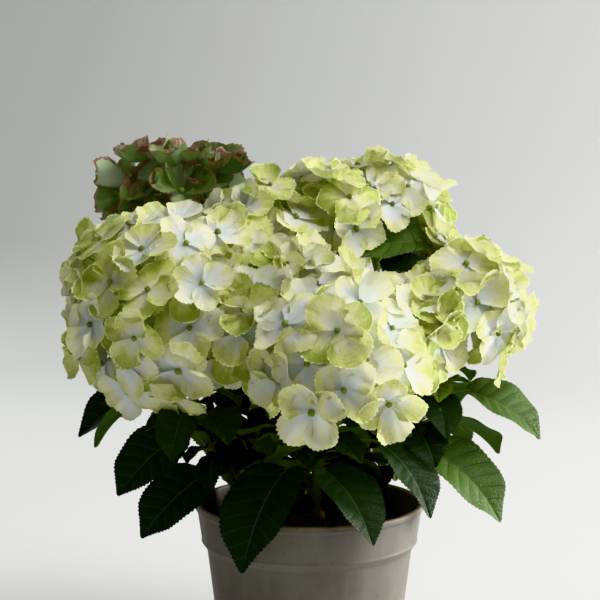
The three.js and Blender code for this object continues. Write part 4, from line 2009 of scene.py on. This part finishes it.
    def old_tints(self, floret: Floret, chance: np.random.Generator) -> list[Array]:
        """The finish numbers of an old sepal: sage to dark green, flushed wine red outwards.

        Args:
            floret: The floret.
            chance: Draws the flush.

        Returns:
            A row of numbers for each array of faces.
        """
        across = np.linspace(-1, 1, PATTERN.fine)
        base = chance.choice([-0.4, 0, 0.3, 0.8, 1.2, 1.8, 2.6, 3.4]) if floret.greening < 0.88 else 5.2
        flush = chance.uniform(0.66, 1.3) + 0.16 * np.sin(2.4 * across + chance.uniform(0, FULL_TURN))
        flush = flush + 0.05 * self.streaks(chance)
        wine = 0.5 + 0.6 * self.streaks(chance)
        shift = 0.4 * self.streaks(chance)

        def level(far: Array) -> Array:
            """The tint for each fine column.

            Args:
                far: Shares of the reach.

            Returns:
                A row of tints for each share.
            """
            green = np.clip(np.round(base + shift[None, :] * far[:, None] + 0.8 * far[:, None]), 0, 5)
            beyond = (far[:, None] - flush[None, :]) / 0.2
            red = OldTint.OLIVE.value + beyond + wine[None, :] * beyond
            red = red + chance.uniform(-0.5, 0.5, green.shape)
            red = np.clip(np.round(red), OldTint.OLIVE.value, OldTint.WINE.value)
            return np.where(beyond > 0, red, green)

        edge = np.where(wine > 0.8, OldTint.ROSE_BROWN.value, OldTint.MARGIN.value)
        return self.spread_tints(level, edge, 0.8, chance)

    def middles(self, heap: Heap, florets: Sequence[Floret]) -> None:
        """Adds the florets' buttons and the stalks beneath them.

        Args:
            heap: Where they go: stalks with finish 0, buttons 1 and 2.
            florets: The florets.
        """
        head = self.head
        dice = Dice(head.seed + 77)
        ring, rise = 0.42 * head.across, 0.1 * head.tall
        forks = [
            head.middle + head.basis @ np.array([ring * math.cos(turn), rise, ring * math.sin(turn)])
            for turn in np.arange(self.forks) / self.forks * FULL_TURN
        ]
        forks.append(head.middle + head.axis * 0.4 * head.tall)
        end = head.path.at(0.97)
        for fork in forks:
            ray = Bow(end, (end + fork) / 2 + head.axis * 4, fork)
            limb(heap, ray.at(np.linspace(0, 1, 6)), np.linspace(2.0, 1.5, 6), 7)
        for floret in florets:
            fork = min(forks, key=lambda place: float(np.linalg.norm(place - floret.place)))
            facing_up = floret.axes[:, 1]
            path = Bow(fork, floret.place - facing_up * 10, floret.place + facing_up * 0.4)
            limb(heap, path.at(np.linspace(0, 1, 6)), np.linspace(1.2, 0.7, 6), 6)
            size = self.button * dice.between(0.8, 1.15)
            axes = floret.axes * [size, size * dice.between(0.75, 1.0), size]
            seat, olive = floret.place + facing_up * (0.6 + 0.55 * size), dice.next() < 0.3
            ball(heap, seat, axes, 6, 12, 2 if olive else 1, 0.1)

    def build(self, petals: Sequence[bpy.types.Material], greens: Sequence[bpy.types.Material]) -> None:
        """Makes the head.

        Args:
            petals: Materials of the sepals by tint.
            greens: Materials of the stalks and the buttons.
        """
        florets = self.sites()
        petal_heap, green_heap = Heap(), Heap()
        self.sepals(petal_heap, florets)
        self.middles(green_heap, florets)
        name = self.head.name
        slot = "old_blossom" if self.head.old else "blossom"
        dress(petal_heap.piece(f"sepals_{name}", petals), slot, f"bloom_{name}")
        dress(green_heap.piece(f"floret_stalks_{name}", greens), "cane", f"bloom_{name}")


# --- the studio ---


@dataclass(frozen=True)
class SoftLamp:
    """A square soft light."""

    name: str
    place: tuple[float, float, float]  # in metres, as its target and its side are
    target: tuple[float, float, float]
    size: float
    power: float  # in watts
    colour: Colour = (1.0, 1.0, 1.0)

    def hang(self) -> None:
        """Makes the light."""
        light = bpy.data.lights.new(self.name, "AREA")
        light.shape, light.size, light.energy, light.color = "SQUARE", self.size, self.power, self.colour
        lamp = bpy.data.objects.new(self.name, light)
        lamp.location = self.place
        aim = Vector(self.target) - Vector(self.place)
        lamp.rotation_euler = aim.to_track_quat("-Z", "Y").to_euler()
        bpy.context.scene.collection.objects.link(lamp)


LAMPS = (
    SoftLamp("key", (1.9, 0.0, 1.45), (0.0, 0.0, 0.28), 1.2, 24, (1.0, 0.985, 0.95)),
    SoftLamp("low_key", (1.8, 0.42, 0.24), (0.0, 0.0, 0.12), 0.35, 50, (1.0, 0.985, 0.95)),
    SoftLamp("high_fill", (1.0, -0.65, 2.1), (0.0, 0.0, 0.3), 1.4, 42, (1.0, 0.995, 0.98)),
    SoftLamp("floor_lift", (-1.0, 1.5, 0.9), (-0.6, 0.6, 0.0), 0.8, 9),
    SoftLamp("backdrop_wash", (1.0, 1.5, 2.2), (0.6, 3.2, 0.6), 1.4, 31),
)


@dataclass
class Studio:
    """A pale floor that sweeps up into a round backdrop, soft lights and the camera, in metres."""

    floor: float = 1.5
    cove: float = 2.1
    wall: float = 2.9
    steps: int = 24
    sides: int = 128
    camera_at: tuple[float, float, float] = (-0.007, -1.1, 0.405)
    camera_dips: float = 5.46
    lens: float = 90
    room: Colour = (0.98, 0.99, 1.0)
    room_light: float = 0.14

    def build(self) -> None:
        """Makes the floor, the lights and the camera."""
        self.backdrop()
        for lamp in LAMPS:
            lamp.hang()
        world = bpy.data.worlds.new("soft_room")
        world.use_nodes = True
        background = world.node_tree.nodes["Background"]
        background.inputs["Color"].default_value = (*self.room, 1)
        background.inputs["Strength"].default_value = self.room_light
        bpy.context.scene.world = world
        bpy.context.scene.view_settings.view_transform = "Khronos PBR Neutral"
        self.camera()
        log.info("studio: floor, lights and camera")

    def backdrop(self) -> None:
        """Makes the floor and the backdrop, one round sheet."""
        sweep = [
            (self.floor + self.cove * math.sin(a), self.cove * (1 - math.cos(a)))
            for a in np.linspace(0, math.pi / 2, self.steps)
        ]
        flat = [(radius, 0.0) for radius in np.linspace(0.05, self.floor, self.steps)[:-1]]
        profile = np.array([*flat, *sweep, (self.floor + self.cove, self.wall)]) / MM
        points = hoops(profile[:, 0], profile[:, 1], self.sides).reshape(-1, 3)
        ring = np.arange(self.sides)
        fan = np.stack([ring, (ring + 1) % self.sides, np.full(self.sides, len(points))], 1)
        heap = Heap()
        points = np.concatenate([points, np.zeros((1, 3))])
        heap.add(points, [grid(len(profile), self.sides, wrap=True), fan])
        floor = heap.piece("studio_floor", [BackdropPaper().make()])
        floor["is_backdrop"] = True

    def camera(self) -> None:
        """Makes the camera."""
        camera = bpy.data.cameras.new("camera")
        camera.lens, camera.sensor_width, camera.clip_end = self.lens, 36, 50
        stand = bpy.data.objects.new("camera", camera)
        stand.location = self.camera_at
        stand.rotation_euler = (math.radians(90 - self.camera_dips), 0, 0)
        bpy.context.scene.collection.objects.link(stand)
        bpy.context.scene.camera = stand


def main() -> None:
    """Builds the plant, its pot and the studio, and works out the two boxes."""
    logging.basicConfig(level=logging.INFO, format="%(message)s")
    pot = NurseryPot()
    pot.build()
    PottingSoil(pot).build()
    bark = BARK_FINISH.make()
    for name in ROOTS:
        WoodyStem(name, [head.path for head in HEADS if head.root == name]).build(bark)
    skins = [finish.make() for finish in CANE_FINISHES]
    greens = [finish.make() for finish in LEAF_FINISHES]
    for head in HEADS:
        LeafyShoot(head).build(greens, skins)
    petals = [finish.make() for finish in FRESH_FINISHES]
    old_petals = [finish.make() for finish in OLD_FINISHES]
    middles = [finish.make() for finish in MIDDLE_FINISHES]
    for head in HEADS:
        FlowerHead(head).build(old_petals if head.old else petals, middles)
    Studio().build()
    boxes = {"cad": CAD_BOX, "visual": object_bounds()}
    {name: [list(corner) for corner in box] for name, box in boxes.items()}


if __name__ == "__main__":
    main()
